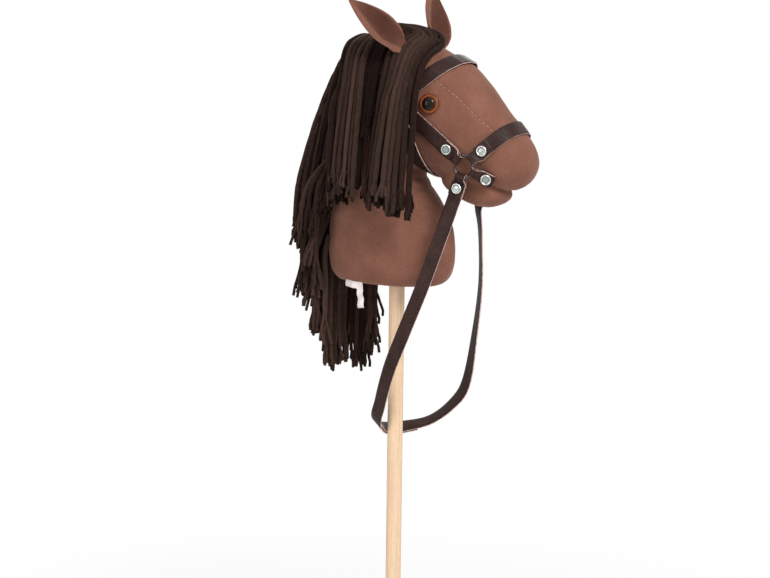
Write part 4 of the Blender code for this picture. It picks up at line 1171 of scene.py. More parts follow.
skin_mesh = modified(cover, "SUBSURF", levels=1, render_levels=1)
skin_places = press(skin_mesh)
gather_at_stick(skin_places)
skin_mesh.vertices.foreach_set("co", [value for co in skin_places for value in co])
skin_mesh.update()
skin_mesh.name = "cover"
skin_mesh.shade_smooth()
skin = piece("stuffed_cover", skin_mesh, VELOUR)
place_in_frame(skin, "horse", "brown_velour", "head", "neck", "lower_jaw")
print("cover has", len(skin_mesh.polygons), "faces")

# %% [markdown]
# ## Ears
#
# Each ear is two layers of velour sewn round the edge and folded at the base, so that it cups forward. A
# CAD ear is a plain loft. Here each ear is lofted again with many more points, a slim foot, a rolled rim, a
# deep cup and a soft ridge down its inside. The two differ a little, as sewn ears do. Each point also keeps
# how much painted shade it gets, so that the cup is coloured darker than the rim.

# %% Ear shape
EAR_BASE = HEAD_MIDDLE + Vector((0.028, 0.038, 0.037))
EAR_TIPS = {-1: Vector((-0.0185, 0.086, 0.094)), 1: Vector((-0.007, 0.078, 0.113))}
EAR_FACINGS = {-1: Vector((0.9, 0.35, 0.3)), 1: Vector((0.9, -0.30, 0.2))}
EAR_SECTIONS = (
    (-0.12, 0.0065, 0.004), (0.04, 0.0070, 0.003), (0.11, 0.0092, 0.002), (0.17, 0.0134, 0.004),
    (0.26, 0.0162, 0.0106), (0.36, 0.0184, 0.0104), (0.47, 0.0194, 0.0090), (0.62, 0.0172, 0.0066),
    (0.80, 0.0112, 0.0036), (0.93, 0.0052, 0.0012), (1.00, 0.0018, 0.0004),
)
EAR_AROUND = 44
EAR_THICKNESS, EAR_SLIM = 0.0045, 0.008
RIM_HEIGHT, RIM_AT, RIM_WIDTH = 0.0011, 0.90, 0.07
RIDGE_HEIGHT, RIDGE_AT, RIDGE_WIDTH = 0.0030, -0.62, 0.0030
CUP_DEPTH, CUP_AT, CUP_WIDTH = 0.0095, 0.20, 0.44


def ear_front(t, share, half):
    """What stands up on the front of an ear: its rolled rim and a ridge. t runs from -1 to 1 across it."""
    rim = RIM_HEIGHT * bell(abs(t) - RIM_AT, RIM_WIDTH) * min(1, half / EAR_SLIM)
    ridge = RIDGE_HEIGHT * bell((t - RIDGE_AT) * half, RIDGE_WIDTH)
    return rim + ridge * ease(share * 4) * ease((1 - share) * 4)


def ear_cup(t, share):
    """How far an ear sinks into its cup, which fades toward the tip and toward the foot."""
    return CUP_DEPTH * bell(t - CUP_AT, CUP_WIDTH) * ease((0.92 - share) / 0.6) * ease((share - 0.16) / 0.24)


def ear(side):
    base, tip, facing = EAR_BASE.copy(), HEAD_MIDDLE + EAR_TIPS[side], EAR_FACINGS[side].copy()
    for v in (base, tip, facing):
        v.y *= side
    axis = (tip - base).normalized()
    facing = (facing - axis * facing.dot(axis)).normalized()
    across = axis.cross(facing)
    sections = curve_through(EAR_SECTIONS, 6)
    points, painted_cup_shade = [], []
    for share, half, depth in sections:
        centre = base + (tip - base) * share + facing * depth * 0.5
        for k in range(EAR_AROUND):
            angle = 2 * math.pi * k / EAR_AROUND
            t = math.cos(angle)
            thick = EAR_THICKNESS * (0.30 + 0.70 * (1 - t * t)) * min(1, half / EAR_SLIM) / 2
            front = math.copysign(abs(math.sin(angle)) ** 0.5, math.sin(angle))
            out = -depth * (1 - t * t) - ear_cup(t, share) + thick * front
            out += ear_front(t, share, half) if front > 0 else 0
            points.append(centre + across * half * t + facing * out)
            # Painted shade for the inside of the cup, kept at each point on the front.
            inside = ease((t + 0.42) / 0.5) * ease((0.95 - t) / 0.12) * ease((1 - share) / 0.25)
            painted_cup_shade.append(inside if front > 0 else 0.0)
    faces = grid_faces(len(sections), EAR_AROUND)
    faces += [tuple(range(EAR_AROUND)), tuple(range(len(points) - EAR_AROUND, len(points)))]
    mesh = shell("ear", points, faces)
    mesh.attributes.new("painted_cup_shade", "FLOAT", "POINT").data.foreach_set("value", painted_cup_shade)
    return mesh


for side, hand in ((1, "left"), (-1, "right")):
    cupped = piece("cupped_ear_" + hand, ear(side), VELOUR)
    place_in_frame(cupped, "horse", "brown_velour", "ear_" + hand)
    print(cupped.name, len(cupped.data.polygons), "faces")

# %% [markdown]
# ## Eyes
#
# The eyes are moulded resin: a dark dome in a flat amber ring, glossy all over. A lathe profile gives the
# dome and the ring, and each point keeps how far out it lies, so that one ramp colours pupil, amber and
# rim.

# %% Turned shapes
def turned(name, profile, origin, axis, sides):
    """A solid of revolution. profile holds (radius, height) from one pole to the other."""
    axis = axis.normalized()
    east = axis.orthogonal().normalized()
    north = axis.cross(east)
    points, rows, spread = [], [], []
    widest = max(radius for radius, _ in profile)
    for radius, height in profile:
        here = 1 if radius < 1e-6 else sides
        rows.append(list(range(len(points), len(points) + here)))
        for k in range(here):
            angle = 2 * math.pi * k / sides
            radial = east * math.cos(angle) + north * math.sin(angle)
            points.append(origin + axis * height + radial * radius)
            spread.append(radius / widest)
    faces = []
    for low, high in zip(rows, rows[1:]):
        for k in range(sides):
            n = (k + 1) % sides
            corners = [low[k % len(low)], low[n % len(low)], high[n % len(high)], high[k % len(high)]]
            faces.append(tuple(dict.fromkeys(corners)))
    mesh = shell(name, points, faces)
    mesh.attributes.new("spread", "FLOAT", "POINT").data.foreach_set("value", spread)
    return mesh


# %% Eyes on the head
STEM_END, STEM_REACH, RIM_REACH = 0.004, 0.005, 0.0145
EYE_RING = (
    (0.0105, 0.0066), (0.0110, 0.0060), (0.0110, 0.0052), (0.0106, 0.0047),
    (0.0092, 0.0045), (0.0081, 0.0050), (0.0077, 0.0048), (0.0075, 0.0040),
)
DOME_RADIUS, DOME_RISE, DOME_STEPS = 0.0075, 0.0040, 8


def eye_seat(hand):
    """Where the CAD eye sits: the middle of its stem's end, the way it looks and how far it reaches."""
    points = [v.co for v in nodes["eye_" + hand].data.vertices]
    side = 1 if hand == "left" else -1
    inner = min(points, key=lambda p: p.y * side)
    stem = [p for p in points if (p - inner).length < STEM_REACH]
    foot = sum(stem, Vector()) / len(stem)
    rim = [p for p in points if (p - foot).length > RIM_REACH]
    way = (sum(rim, Vector()) / len(rim) - foot).normalized()
    return foot, way, max((p - foot).dot(way) for p in points)


for hand in ("left", "right"):
    foot, way, reach = eye_seat(hand)
    profile = [(0, STEM_END)] + [(radius, reach - depth) for radius, depth in EYE_RING]
    for k in range(1, DOME_STEPS):
        angle = math.pi / 2 * k / DOME_STEPS
        profile.append((DOME_RADIUS * math.cos(angle), reach - DOME_RISE + DOME_RISE * math.sin(angle)))
    profile.append((0, reach))
    glass = piece("resin_eye_" + hand, turned("eye", profile, foot, way, 48), RESIN)
    place_in_frame(glass, "horse", "amber_eye", "eye_" + hand)
    print(hand, "eye looks along", [round(value, 2) for value in way])

# %% [markdown]
# ## Rings
#
# The two rings of the bit are bent wire, welded at one point. A torus primitive would do, but the welded
# bead makes it read as wire. The wire is a little slimmer than the CAD's, so that it turns freely in the
# folds.

# %% Wire rings
RING_SIDES, WIRE_SIDES = 72, 16
WIRE_SPARE = 0.00008
BEAD_HEIGHT, BEAD_AT, BEAD_WIDTH = 0.00022, 1.2, 0.05

for side, hand in ((1, "left"), (-1, "right")):
    centre = turns[f"ring_{hand}_turn"]
    points = []
    for i in range(RING_SIDES):
        angle = 2 * math.pi * i / RING_SIDES
        radial = Vector((math.cos(angle), 0, math.sin(angle)))
        radius = WIRE / 2 - WIRE_SPARE + BEAD_HEIGHT * bell(angle - BEAD_AT, BEAD_WIDTH)
        for k in range(WIRE_SIDES):
            turn = 2 * math.pi * k / WIRE_SIDES
            spot = centre + radial * (RING_RADIUS + radius * math.cos(turn))
            points.append(spot + SIDEWAYS * radius * math.sin(turn))
    mesh = shell("ring", points, grid_faces(RING_SIDES, WIRE_SIDES, rows_close=True))
    ring = piece("wire_ring_" + hand, mesh, DARK_METAL)
    place_in_frame(ring, "ring_" + hand, "dark_ring", "bit_ring_" + hand)
    print(ring.name, len(mesh.polygons), "faces")

# %% [markdown]
# ## Rivets
#
# Every strap end is closed by a capped rivet with a rolled rim round a flatter middle; its colour holds a
# painted highlight on the rim and painted shade in the middle. The caps are all the same, so Geometry Nodes
# put one cap on each marked point, turned to the way the strap faces there.

# %% Geometry node tools
def geometry_tree(name, **inputs):
    """Makes a tree that takes geometry and named inputs, and gives back it and its input sockets."""
    tree = bpy.data.node_groups.new(name, "GeometryNodeTree")
    for way in ("INPUT", "OUTPUT"):
        tree.interface.new_socket("Geometry", in_out=way, socket_type="NodeSocketGeometry")
    for key, kind in inputs.items():
        label = key.replace("_", " ").capitalize()
        tree.interface.new_socket(label, in_out="INPUT", socket_type="NodeSocket" + kind)
    return tree, tree.nodes.new("NodeGroupInput").outputs


def ended(tree, given, made):
    """Closes a tree: what it made becomes real mesh and takes the finish."""
    real = put(tree, "GeometryNodeRealizeInstances", (0, made))
    painted = put(tree, "GeometryNodeSetMaterial", ("Geometry", real), ("Material", given["Finish"]))
    put(tree, "NodeGroupOutput", (0, painted))
    return tree


def noted(tree, name, kind):
    return put(tree, "GeometryNodeInputNamedAttribute", ("Name", name), data_type=kind)


def stored(tree, geometry, name, value):
    return put(tree, "GeometryNodeStoreNamedAttribute", (0, geometry), ("Name", name), (3, value),
               data_type="FLOAT", domain="POINT")


def marked_points(name, points, edges=(), **marks):
    """A mesh of bare points and edges that carries a value or a direction at each point."""
    mesh = bpy.data.meshes.new(name)
    mesh.from_pydata([tuple(p) for p in points], list(edges), [])
    for label, values in marks.items():
        if isinstance(values[0], Vector):
            layer = mesh.attributes.new(label, "FLOAT_VECTOR", "POINT")
            layer.data.foreach_set("vector", [x for v in values for x in v])
        else:
            kind = "INT" if isinstance(values[0], int) else "FLOAT"
            mesh.attributes.new(label, kind, "POINT").data.foreach_set("value", values)
    return link(name, mesh)


def grow(source, tree, name, **values):
    """Runs a tree on the marked points and keeps its result as a plain mesh."""
    modifier = source.modifiers.new(tree.name, "NODES")
    modifier.node_group = tree
    for item in tree.interface.items_tree:
        key = item.name.replace(" ", "_").lower()
        if item.in_out == "INPUT" and key in values:
            modifier[item.identifier] = values[key]
    mesh = evaluated_mesh(source)
    mesh.name = name
    return mesh


# %% Rivet tree
CAP_WIDTH, CAP_RISE, CAP_LIFT = 0.0122, 0.0024, 0.0004
CAP_PROFILE = (
    (0, -0.05), (0.46, -0.05), (0.497, 0.06), (0.5, 0.30), (0.485, 0.62), (0.45, 0.90),
    (0.41, 1.0), (0.375, 0.94), (0.345, 0.72), (0.30, 0.66), (0.15, 0.74), (0, 0.77),
)


def rivet_tree():
    tree, given = geometry_tree("rivet_caps", cap="Object", cap_width="Float", cap_rise="Float",
                                finish="Material")
    cap = put(tree, "GeometryNodeObjectInfo", ("Object", given["Cap"]))
    facing = noted(tree, "facing", "FLOAT_VECTOR")
    turn = put(tree, "FunctionNodeAlignRotationToVector", ("Vector", facing), axis="Z")
    wide = given["Cap width"]
    size = put(tree, "ShaderNodeCombineXYZ", (0, wide), (1, wide), (2, given["Cap rise"]))
    placed = put(tree, "GeometryNodeInstanceOnPoints", ("Points", given["Geometry"]),
                 ("Instance", cap.outputs["Geometry"]), ("Rotation", turn), ("Scale", size))
    return ended(tree, given, placed)


cap_shape = piece("rivet_cap_shape", turned("cap", CAP_PROFILE, Vector(), Vector((0, 0, 1)), 32), SILVER)
caps = rivet_tree()
for body, marked in rivets.items():
    spots = [p + n * CAP_LIFT for p, n in marked]
    source = marked_points("rivet_points", spots, facing=[n for _, n in marked])
    mesh = grow(source, caps, "rivets", cap=cap_shape, cap_width=CAP_WIDTH, cap_rise=CAP_RISE, finish=SILVER)
    mesh.shade_smooth()
    made = piece("rivet_caps_" + body, mesh, SILVER)
    names = [name for name in named("rivet_") if name.startswith("rivet_rein") == (body == "reins")]
    place_in_frame(made, body, "silver_rivet", *names)
    print(body, "has", len(marked), "rivets for", len(names), "nodes")
bpy.data.objects.remove(cap_shape)

# %% [markdown]
# ## Seam stitches
#
# The gusset seam down each side of the face is closed with short stitches of paler thread that sink into
# the pile. They follow the seam's path, so they are grown along it too, with every size an input of the
# tree.

# %% Stitch tree
STITCH_LIFT = 0.0003


def stitch_tree():
    tree, given = geometry_tree("stitches", spacing="Float", stitch_length="Float", thread_width="Float",
                                seed="Int", finish="Material")
    line = put(tree, "GeometryNodeMeshToCurve", (0, given["Geometry"]))
    dots = put(tree, "GeometryNodeCurveToPoints", (0, line), ("Length", given["Spacing"]), mode="LENGTH")
    turn = put(tree, "FunctionNodeAlignRotationToVector", ("Vector", dots.outputs["Tangent"]), axis="Z")
    half = calc(tree, "MULTIPLY", given["Stitch length"], 0.5)
    low = put(tree, "ShaderNodeCombineXYZ", (2, calc(tree, "MULTIPLY", half, -1.0)))
    high = put(tree, "ShaderNodeCombineXYZ", (2, half))
    straight = put(tree, "GeometryNodeCurvePrimitiveLine", ("Start", low), ("End", high))
    fine = put(tree, "GeometryNodeResampleCurve", (0, straight), ("Count", 6))
    along = put(tree, "GeometryNodeSplineParameter").outputs["Factor"]
    plump = between_values(tree, calc(tree, "SINE", calc(tree, "MULTIPLY", along, math.pi)), 0.35, 1.0)
    shaped = put(tree, "GeometryNodeSetCurveRadius", (0, fine), ("Radius", plump))
    slim = calc(tree, "MULTIPLY", given["Thread width"], 0.5)
    ring = put(tree, "GeometryNodeCurvePrimitiveCircle", ("Resolution", 6), ("Radius", slim))
    stitch = put(tree, "GeometryNodeCurveToMesh", (0, shaped), (1, ring), ("Fill Caps", True))
    vary = put(tree, "FunctionNodeRandomValue", (2, 0.7), (3, 1.15), ("Seed", given["Seed"]),
               data_type="FLOAT")
    placed = put(tree, "GeometryNodeInstanceOnPoints", ("Points", dots), ("Instance", stitch),
                 ("Rotation", turn), ("Scale", vary.outputs[1]))
    return ended(tree, given, placed)


skin_touch = Touch(skin_mesh)
points, edges = [], []
for seam in (right_seam, left_seam):
    first = len(points)
    for p in seam:
        spot, normal, _, _ = skin_touch.tree.find_nearest(p)
        points.append(spot + normal * STITCH_LIFT)
    edges += [(i, i + 1) for i in range(first, len(points) - 1)]
source = marked_points("seam_points", points, edges)
mesh = grow(source, stitch_tree(), "stitches", spacing=0.0056, stitch_length=0.0034, thread_width=0.0010,
            seed=4, finish=THREAD)
mesh.shade_smooth()
place_in_frame(piece("gusset_stitches", mesh, THREAD), "horse", "brown_velour")
print("stitches:", len(mesh.polygons), "faces")

# %% [markdown]
# ## Yarn mane
#
# The mane is a mop of thick, soft, loosely twisted yarn, sewn along the crest so that its strands fall on
# both sides. Hair particles would give straight fibres. Here each strand's middle line is laid over the
# cover first, as a real strand falls: off the crest, down over the side, then straight down. Geometry Nodes
# then twist six or seven plies round each line and let them come apart and fray at the ends.

# %% Strand lines
CREST = Vector((-0.010, 0, 0.735))
STRAND = 0.0068
FALL_STEPS, FALL_BUNCHING, FALL_ALONG = 32, 1.7, 0.75
FRONT_SWELL, REAR_SWELL, REAR_FROM, REAR_OVER = 0.75, 0.22, 112, 45
SEAM_SIDE, ROOT_SIDE = -0.007, 0.003
STEP_OUT, FALL_OUT = 0.0003, 0.012
LEAVES_CREST = 0.09
LINE_STEP, LINE_PARTS = 0.006, 6
layers_touch = Touch(skin_mesh, *[straps[name] for name in ("headpiece", "throat_strap", "browband")])
rng = np.random.default_rng(21)


def crest_point(angle, out, lift):
    """Where the cover or a strap lies at an angle round the crest, lifted off it."""
    ray = Vector((math.cos(math.radians(angle)), 0, math.sin(math.radians(angle))))
    spot, normal = layers_touch.hit(CREST + Vector((0, out, 0)) + ray * FROM_FAR, -ray)
    return spot + normal * lift


def falling(side, angle, end, lift, delay=0.0):
    """A strand from the crest down one side: over the cover while it is in the way, then straight down."""
    swell = FRONT_SWELL - REAR_SWELL * ease((angle - REAR_FROM) / REAR_OVER)
    root = crest_point(angle, ROOT_SIDE * side, STRAND * 0.45 + lift * 0.6)
    levels = [(k / FALL_STEPS) ** FALL_BUNCHING for k in range(FALL_STEPS + 1)]
    line = [root]
    for before, level in zip(levels, levels[1:]):
        t = min(max((level - delay) / FALL_ALONG, 0), 1)
        x = root.x + (end[0] - root.x) * (ease(t) if delay else t**swell)
        z = root.z + (end[1] - root.z) * level
        out = abs(line[-1].y) + STEP_OUT + FALL_OUT * (level - before)
        spot, normal = layers_touch.side_hit(Vector((x, 0, z)), side)
        if spot is not None and spot.y * side > 0:
            stand = spot + normal * (STRAND * 0.5 + lift)
            if abs(stand.y) > out:
                out = abs(stand.y)
                push = (STRAND * 0.5 + lift) * 0.5 * min(level / LEAVES_CREST, 1)
                x += normal.x * push
                z += normal.z * push
        line.append(Vector((x, out * side, z)))
    return line if delay else [crest_point(angle, SEAM_SIDE * side, 0.0)] + line


def smoothed(line, rounds):
    total = run_length(line)
    line = spaced(line, evenly(total, max(LINE_PARTS, round(total / LINE_STEP))))
    for _ in range(rounds):
        line = [line[0]] + [(a + b * 2 + c) / 4 for a, b, c in zip(line, line[1:], line[2:])] + [line[-1]]
    return line


def between(bounds, share):
    """The strand between boundary strands: share runs from 0 at the first to 1 at the last."""
    at = share * (len(bounds) - 1)
    k = min(int(at), len(bounds) - 2)
    t = at - k
    (a0, (x0, z0)), (a1, (x1, z1)) = bounds[k], bounds[k + 1]
    return a0 + (a1 - a0) * t, (x0 + (x1 - x0) * t, z0 + (z1 - z0) * t)


# %% Strand tree
OWN_TURN = 0.377
PLY_KEYS = 17.0
CRIMP_SCALE, CRIMP_TIGHT, CRIMP_LOOSE = 70.0, 0.0012, 0.0070
FRAYED_WIDTH = 0.34


def strand_tree():
    """Copies each strand's line once for each ply, winds the copies round it and makes each a round ply."""
    tree, given = geometry_tree(
        "yarn_strands", plies="Int", strand_width="Float", ply_width="Float", twist="Float",
        fray_length="Float", fray_spread="Float", seed="Int", finish="Material",
    )
    number = noted(tree, "strand", "INT")
    line = put(tree, "GeometryNodeMeshToCurve", (0, given["Geometry"]))
    copies = put(tree, "GeometryNodeDuplicateElements", (0, line), ("Amount", given["Plies"]),
                 domain="SPLINE")
    plies = stored(tree, copies, "ply", copies.outputs["Duplicate Index"])
    ply = noted(tree, "ply", "FLOAT")
    along = put(tree, "GeometryNodeSplineParameter").outputs["Length"]
    left = calc(tree, "SUBTRACT", put(tree, "GeometryNodeSplineLength").outputs["Length"], along)
    fray = put(tree, "ShaderNodeMapRange", ("Value", left), ("From Min", given["Fray length"]),
               ("From Max", 0.0), interpolation_type="SMOOTHSTEP")

    # The angle of a ply round the strand: its share of a turn, the twist so far and the strand's own start.
    share, twisted = calc(tree, "DIVIDE", ply, given["Plies"]), calc(tree, "MULTIPLY", along, given["Twist"])
    wound = calc(tree, "ADD", calc(tree, "ADD", share, twisted), calc(tree, "MULTIPLY", number, OWN_TURN))
    angle = calc(tree, "MULTIPLY", wound, 2 * math.pi)
    normal = put(tree, "GeometryNodeInputNormal")
    beside = vector_calc(tree, "CROSS_PRODUCT", put(tree, "GeometryNodeInputTangent"), normal)
    swing = vector_calc(tree, "ADD", scaled(tree, normal, calc(tree, "COSINE", angle)),
                        scaled(tree, beside, calc(tree, "SINE", angle)))
    room = calc(tree, "SUBTRACT", given["Strand width"], given["Ply width"])
    wind = scaled(tree, swing, calc(tree, "MULTIPLY", room, 0.5))

    # Near its end a ply strays its own way and gets a looser crimp.
    key = calc(tree, "MULTIPLY_ADD", number, PLY_KEYS, ply)
    stray = put(tree, "FunctionNodeRandomValue", (0, (-1, -1, -1)), (1, (1, 1, 0.6)), ("ID", key),
                ("Seed", given["Seed"]), data_type="FLOAT_VECTOR")
    loose = scaled(tree, stray, calc(tree, "MULTIPLY", fray, given["Fray spread"]))
    shifted = vector_calc(tree, "ADD", stray, put(tree, "GeometryNodeInputPosition"))
    crimp = put(tree, NOISE, ("Vector", shifted), ("Scale", CRIMP_SCALE), ("Detail", 1.0)).outputs["Color"]
    wave = scaled(tree, vector_calc(tree, "SUBTRACT", crimp, (0.5, 0.5, 0.5)),
                  between_values(tree, fray, CRIMP_TIGHT, CRIMP_LOOSE))
    moved = vector_calc(tree, "ADD", vector_calc(tree, "ADD", wind, loose), wave)
    plied = put(tree, "GeometryNodeSetPosition", (0, plies), ("Offset", moved))
    shaped = put(tree, "GeometryNodeSetCurveRadius", (0, plied),
                 ("Radius", between_values(tree, fray, 1.0, FRAYED_WIDTH)))

    # Each point keeps how far along and how far round its ply it lies, which the yarn's finish reads.
    ring = put(tree, "GeometryNodeCurvePrimitiveCircle", ("Resolution", 6),
               ("Radius", calc(tree, "MULTIPLY", given["Ply width"], 0.5)))
    ring_share = put(tree, "GeometryNodeSplineParameter").outputs["Factor"]
    ring_turn = calc(tree, "MULTIPLY", ring_share, 2 * math.pi)
    body = put(tree, "GeometryNodeCurveToMesh", (0, stored(tree, shaped, "run", along)),
               (1, stored(tree, ring, "around", ring_turn)), ("Fill Caps", True))
    return ended(tree, given, put(tree, "GeometryNodeSetShadeSmooth", (0, body)))


strands = strand_tree()
YARN_SIZES = {
    "plies": 6, "strand_width": STRAND, "ply_width": 0.0038, "twist": 6.0, "fray_length": 0.024,
    "fray_spread": 0.0045, "seed": 7, "finish": YARN,
}
# Strands underneath take painted shade from a dark range; strands on top differ in tone at random.
PAINTED_UNDER_SHADE, OVER_TINT = (0.0, 0.12), (0.38, 1.0)


def mane_piece(name, lines, start, shaded=0, **sizes):
    """Grows yarn along strand lines as one piece for the nodes whose names start this way.
    The first lines, which lie underneath, get painted shade: their yarn is coloured darker."""
    points, edges, numbers, tones_and_shades = [], [], [], []
    for i, line in enumerate(lines):
        edges += [(len(points) + k, len(points) + k + 1) for k in range(len(line) - 1)]
        points += line
        numbers += [i] * len(line)
        tones_and_shades += [float(rng.uniform(*(PAINTED_UNDER_SHADE if i < shaded else OVER_TINT)))] * len(line)
    source = marked_points(name, points, edges, strand=numbers, tint=tones_and_shades)
    mesh = grow(source, strands, name, **{**YARN_SIZES, **sizes})
    place_in_frame(piece(name, mesh, YARN), "horse", "dark_yarn", *named(start))
    print(name, len(lines), "strands,", len(mesh.polygons), "faces")


# %% Forelock
FORELOCK = ((33, (0.0555, 0.599)), (45, (0.038, 0.606)), (56, (0.016, 0.612)), (70, (-0.002, 0.613)))
FORELOCK_LAYERS = (10, 8)
FORELOCK_DELAY = 0.17
OVER_TOP, OVER_STEP = 86, 6


def forelock_lines():
    """Strands that come forward over the top of the head before they fall down its right side."""
    lines = []
    for layer, amount in enumerate(FORELOCK_LAYERS):
        for k in range(amount):
            share = min((k + 0.5 * (1 - layer) + 0.2) / amount, 1.0)
            angle, (x, z) = between(FORELOCK, share)
            end = (x + rng.uniform(-0.002, 0.002), z + rng.uniform(-0.010, 0.010))
            lift = 0.0008 + layer * (0.0060 + rng.uniform(-0.0015, 0.0015))
            over = []
            for back in range(OVER_TOP, int(angle) + 4, -OVER_STEP):
                over.append(crest_point(back, 0.010 - 0.020 * share, STRAND * 0.5 + lift))
            lines.append(smoothed(over + falling(-1, angle, end, lift, FORELOCK_DELAY), 5))
    return lines


mane_piece("forelock_yarn", forelock_lines(), "forelock", shaded=FORELOCK_LAYERS[0])

# %% Side curtains
RIGHT = ((88, (-0.013, 0.622)), (102, (-0.032, 0.620)), (117, (-0.052, 0.613)), (132, (-0.076, 0.600)),
         (148, (-0.104, 0.585)), (165, (-0.127, 0.566)))
LEFT = ((78, (-0.006, 0.603)), (90, (-0.014, 0.599)), (106, (-0.038, 0.597)), (122, (-0.062, 0.589)),
        (138, (-0.094, 0.575)), (165, (-0.124, 0.559)))
INNER = ((73, (0.002, 0.700)), (86, (-0.010, 0.680)))
INNERMOST = (4, 0.0, 0.0006)
BED, COVERING, REAR = (18, 0.0, 0.0008), (15, 0.0, 0.0062), (8, 0.45, 0.0112)


def curtain_lines(bounds, side, *layers):
    """Strands between the boundary strands. A layer is its strand count, its first share and its lift."""
    lines = []
    for layer, (amount, first, lift) in enumerate(layers):
        for k in range(amount):
            share = first + (1 - first) * min((k + 0.5 * (layer % 2) + 0.2) / amount, 1.0)
            angle, (x, z) = between(bounds, share)
            end = (x + rng.uniform(-0.003, 0.003), z + rng.uniform(-0.012, 0.012))
            stand = lift + (rng.uniform(-0.0015, 0.0015) if layer else 0)
            lines.append(smoothed(falling(side, angle + rng.uniform(-1, 1), end, stand), 5))
    return lines


# The innermost strands lie in the gap under the ear and, like the bed, get painted shade.
right_lines = curtain_lines(INNER, -1, INNERMOST) + curtain_lines(RIGHT, -1, BED, COVERING, REAR)
mane_piece("mane_yarn_right", right_lines, "mane_right", shaded=INNERMOST[0] + BED[0])
mane_piece("mane_yarn_left", curtain_lines(LEFT, 1, BED, COVERING, REAR), "mane_left", shaded=BED[0])

# %% Lower tiers
NECK_AXIS = (-0.008, 0.0)
TIERS = (
    (0.660, 0.550, 0.035, 0.002, -44.0), (0.640, 0.500, 0.029, 0.011, -36.0),
    (0.617, 0.479, 0.026, 0.003, -28.0), (0.590, 0.458, 0.019, 0.003, -22.0),
    (0.562, 0.436, 0.011, 0.002, -18.0), (0.532, 0.410, 0.003, 0.002, -14.0),
)
TIER_STRANDS, TIER_STEPS = 12, 24
LEFTMOST = 43.0
NECK_LOWEST = 0.517
TIP_RISE = {True: 0.045, False: 0.006}
# The right rein swings past this side, so low ends stay inside a slope: its height, its y there and its lean
REIN_ROOM = (0.430, -0.018, 0.42)


def neck_reach(bearing, height):
    """How far the cover reaches from the neck's axis at a bearing from straight back, and the way there."""
    way = Vector((-math.cos(math.radians(bearing)), math.sin(math.radians(bearing)), 0))
    start = Vector((*NECK_AXIS, max(height, NECK_LOWEST)))
    spot, _ = skin_touch.hit(start + way * FROM_SIDE, -way)
    return (spot - start).length, way


def tier_lines():
    """Rows of strands sewn across the back of the neck. The higher rows hang outside the lower ones.
    A row is its height, its ends' height, how far it stands off and flares, and its bearing at the right."""
    lines = []
    for number, (high, low, stand, flare, rightmost) in enumerate(TIERS):
        for k in range(TIER_STRANDS):
            share = (k + 0.25 + 0.5 * (number % 2)) / TIER_STRANDS
            bearing = rightmost + (LEFTMOST - rightmost) * share + rng.uniform(-2.5, 2.5)
            aside = abs(bearing) / 45
            far = stand * (1 - 0.62 * min(aside, 1) ** 1.5) + rng.uniform(-0.002, 0.002)
            tip = low + TIP_RISE[bearing < 0] * aside**2 + rng.uniform(-0.012, 0.012)
            line = []
            for level in evenly(1, TIER_STEPS):
                z = high + (tip - high) * level
                reach, way = neck_reach(bearing, z)
                out = reach + STRAND * 0.5 * min(1, level * 8) + far * ease(level / 0.5) + flare * level**3
                spot = Vector((*NECK_AXIS, z)) + way * out
                spot.y = max(spot.y, REIN_ROOM[1] - REIN_ROOM[2] * (z - REIN_ROOM[0]))
                line.append(spot)
            lines.append(smoothed(line, 6))
    return lines


mane_piece("mane_yarn_lower", tier_lines(), "mane_tuft", plies=7, ply_width=0.0034, fray_length=0.042,
           fray_spread=0.0085)

# %% [markdown]
# ## Stick
#
# The stick is a plain beech dowel, eased at its foot. The CAD stick arrives with flats, so it is turned
# again with more sides, a rounded foot and a little unevenness from sanding.

# %% Dowel
FOOT_EASE = ((0.002, 0), (0.0009, 0.0003), (0.0003, 0.0009), (0, 0.002))
SANDED, SANDING_WAVE, SANDING_STEP = 0.00006, 0.00005, 1.7
DOWEL_PARTS, DOWEL_SIDES, TOP_EASE = 60, 64, 0.002

stick_low, stick_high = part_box("stick")
radius = (stick_high.x - stick_low.x) / 2
length = stick_high.z - stick_low.z
profile = [(0, stick_low.z)] + [(radius - less, stick_low.z + up) for less, up in FOOT_EASE]
for k in range(1, DOWEL_PARTS):
    height = stick_low.z + FOOT_EASE[-1][1] + (length - 2 * FOOT_EASE[-1][1]) * k / DOWEL_PARTS
    profile.append((radius - SANDED - SANDING_WAVE * math.sin(k * SANDING_STEP), height))
profile += [(radius, stick_high.z - TOP_EASE), (radius - TOP_EASE, stick_high.z), (0, stick_high.z)]
dowel = piece("beech_dowel", turned("dowel", profile, Vector(), Vector((0, 0, 1)), DOWEL_SIDES), BEECH)
place_in_frame(dowel, "horse", "beech", "stick")
print("stick", round(length * 1000), "mm long")

# %% [markdown]
# ## Label
#
# A bare satin ribbon is caught in the seam under the neck: it lies along the hem for a little way, folds at
# a corner and hangs. Rows of points across the ribbon, mitred at the corner, are enough. It is finished but
# left blank.

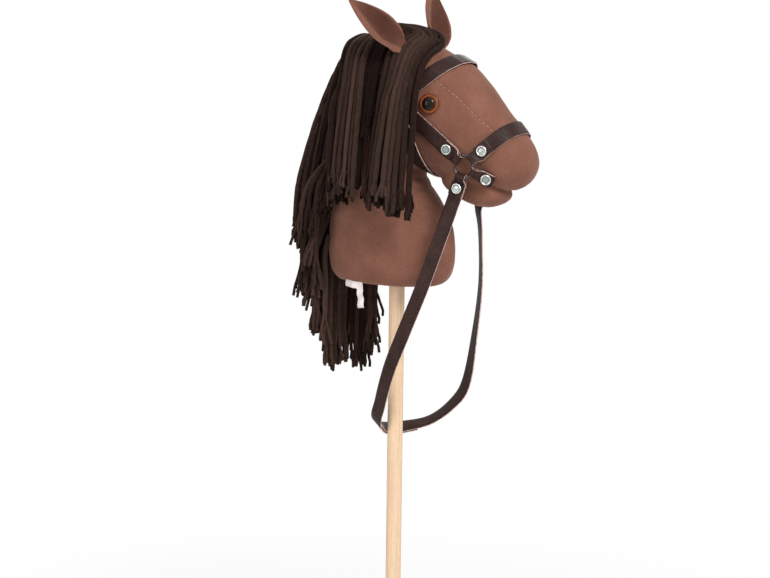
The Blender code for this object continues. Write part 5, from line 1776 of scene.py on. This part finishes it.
# %% Satin tag
RIBBON, RIBBON_THICKNESS = 0.0078, 0.0007
HEM_RUN, HEM_PARTS, HEM_DROOP = 0.017, 9, 0.0012
HANG, HANG_PARTS, HANG_DRIFT = 0.026, 14, 0.0012
HEM_HEIGHT = 0.5135
STAND_OFF, TUCK, TUCK_REACH = 0.0012, 0.30, 0.012
RIPPLE, RIPPLE_STEP, RIPPLE_FROM, CURL = 0.0010, 0.8, 8, 0.0006
tag_low, tag_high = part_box("label_tag")


def tag_rows():
    """Middles and directions across, along the hem, round the corner and down."""
    start = Vector((tag_low.x - 0.0035, 0, tag_high.z + 0.0005))
    rows = []
    for k in range(HEM_PARTS + 1):
        along = Vector((HEM_RUN * k / HEM_PARTS, 0, -HEM_DROOP * k / HEM_PARTS))
        rows.append((start + along, Vector((0.05, 0, 1))))
    corner = rows[-1][0] + Vector((RIBBON / 2, 0, 0))
    rows.append((corner, Vector((1, 0, 1))))
    for k in range(1, HANG_PARTS + 1):
        t = k / HANG_PARTS
        down = Vector((HANG_DRIFT * t, 0, -RIBBON / 2 - (HANG - RIBBON / 2) * t))
        rows.append((corner + down, Vector((1, 0, 0.12 * t))))
    return rows


def tag_mesh():
    rows = tag_rows()
    shares = [k / 4 - 1 for k in range(9)]
    points = []
    for number, (middle, across) in enumerate(rows):
        spot, _ = skin_touch.side_hit(Vector((middle.x, 0, max(middle.z, HEM_HEIGHT))), -1)
        below = max(0, HEM_HEIGHT - middle.z)
        out = spot.y - STAND_OFF + TUCK * min(below, TUCK_REACH)
        out += RIPPLE * math.sin(number * RIPPLE_STEP) * min(1, number / RIPPLE_FROM)
        for share in shares:
            place = middle + across * share * RIBBON / 2
            points.append(Vector((place.x, out - CURL * math.cos(share * 3 + number * 0.3), place.z)))
    flat = shell("tag", points, grid_faces(len(rows), len(shares), columns_close=False))
    mesh = modified(flat, "SOLIDIFY", thickness=RIBBON_THICKNESS, offset=0)
    mesh.shade_smooth()
    return mesh


tag = piece("satin_tag", tag_mesh(), SATIN)
place_in_frame(tag, "horse", "white_satin", "label_tag")
print("tag:", len(tag.data.polygons), "faces")

# %% [markdown]
# ## Last update
#
# The view layer is updated once more, so that every piece stands where it was placed. The dressed toy has
# to stay inside the CAD model's box, apart from a little that fabric may stand proud.

# %% Last update
bpy.context.view_layer.update()
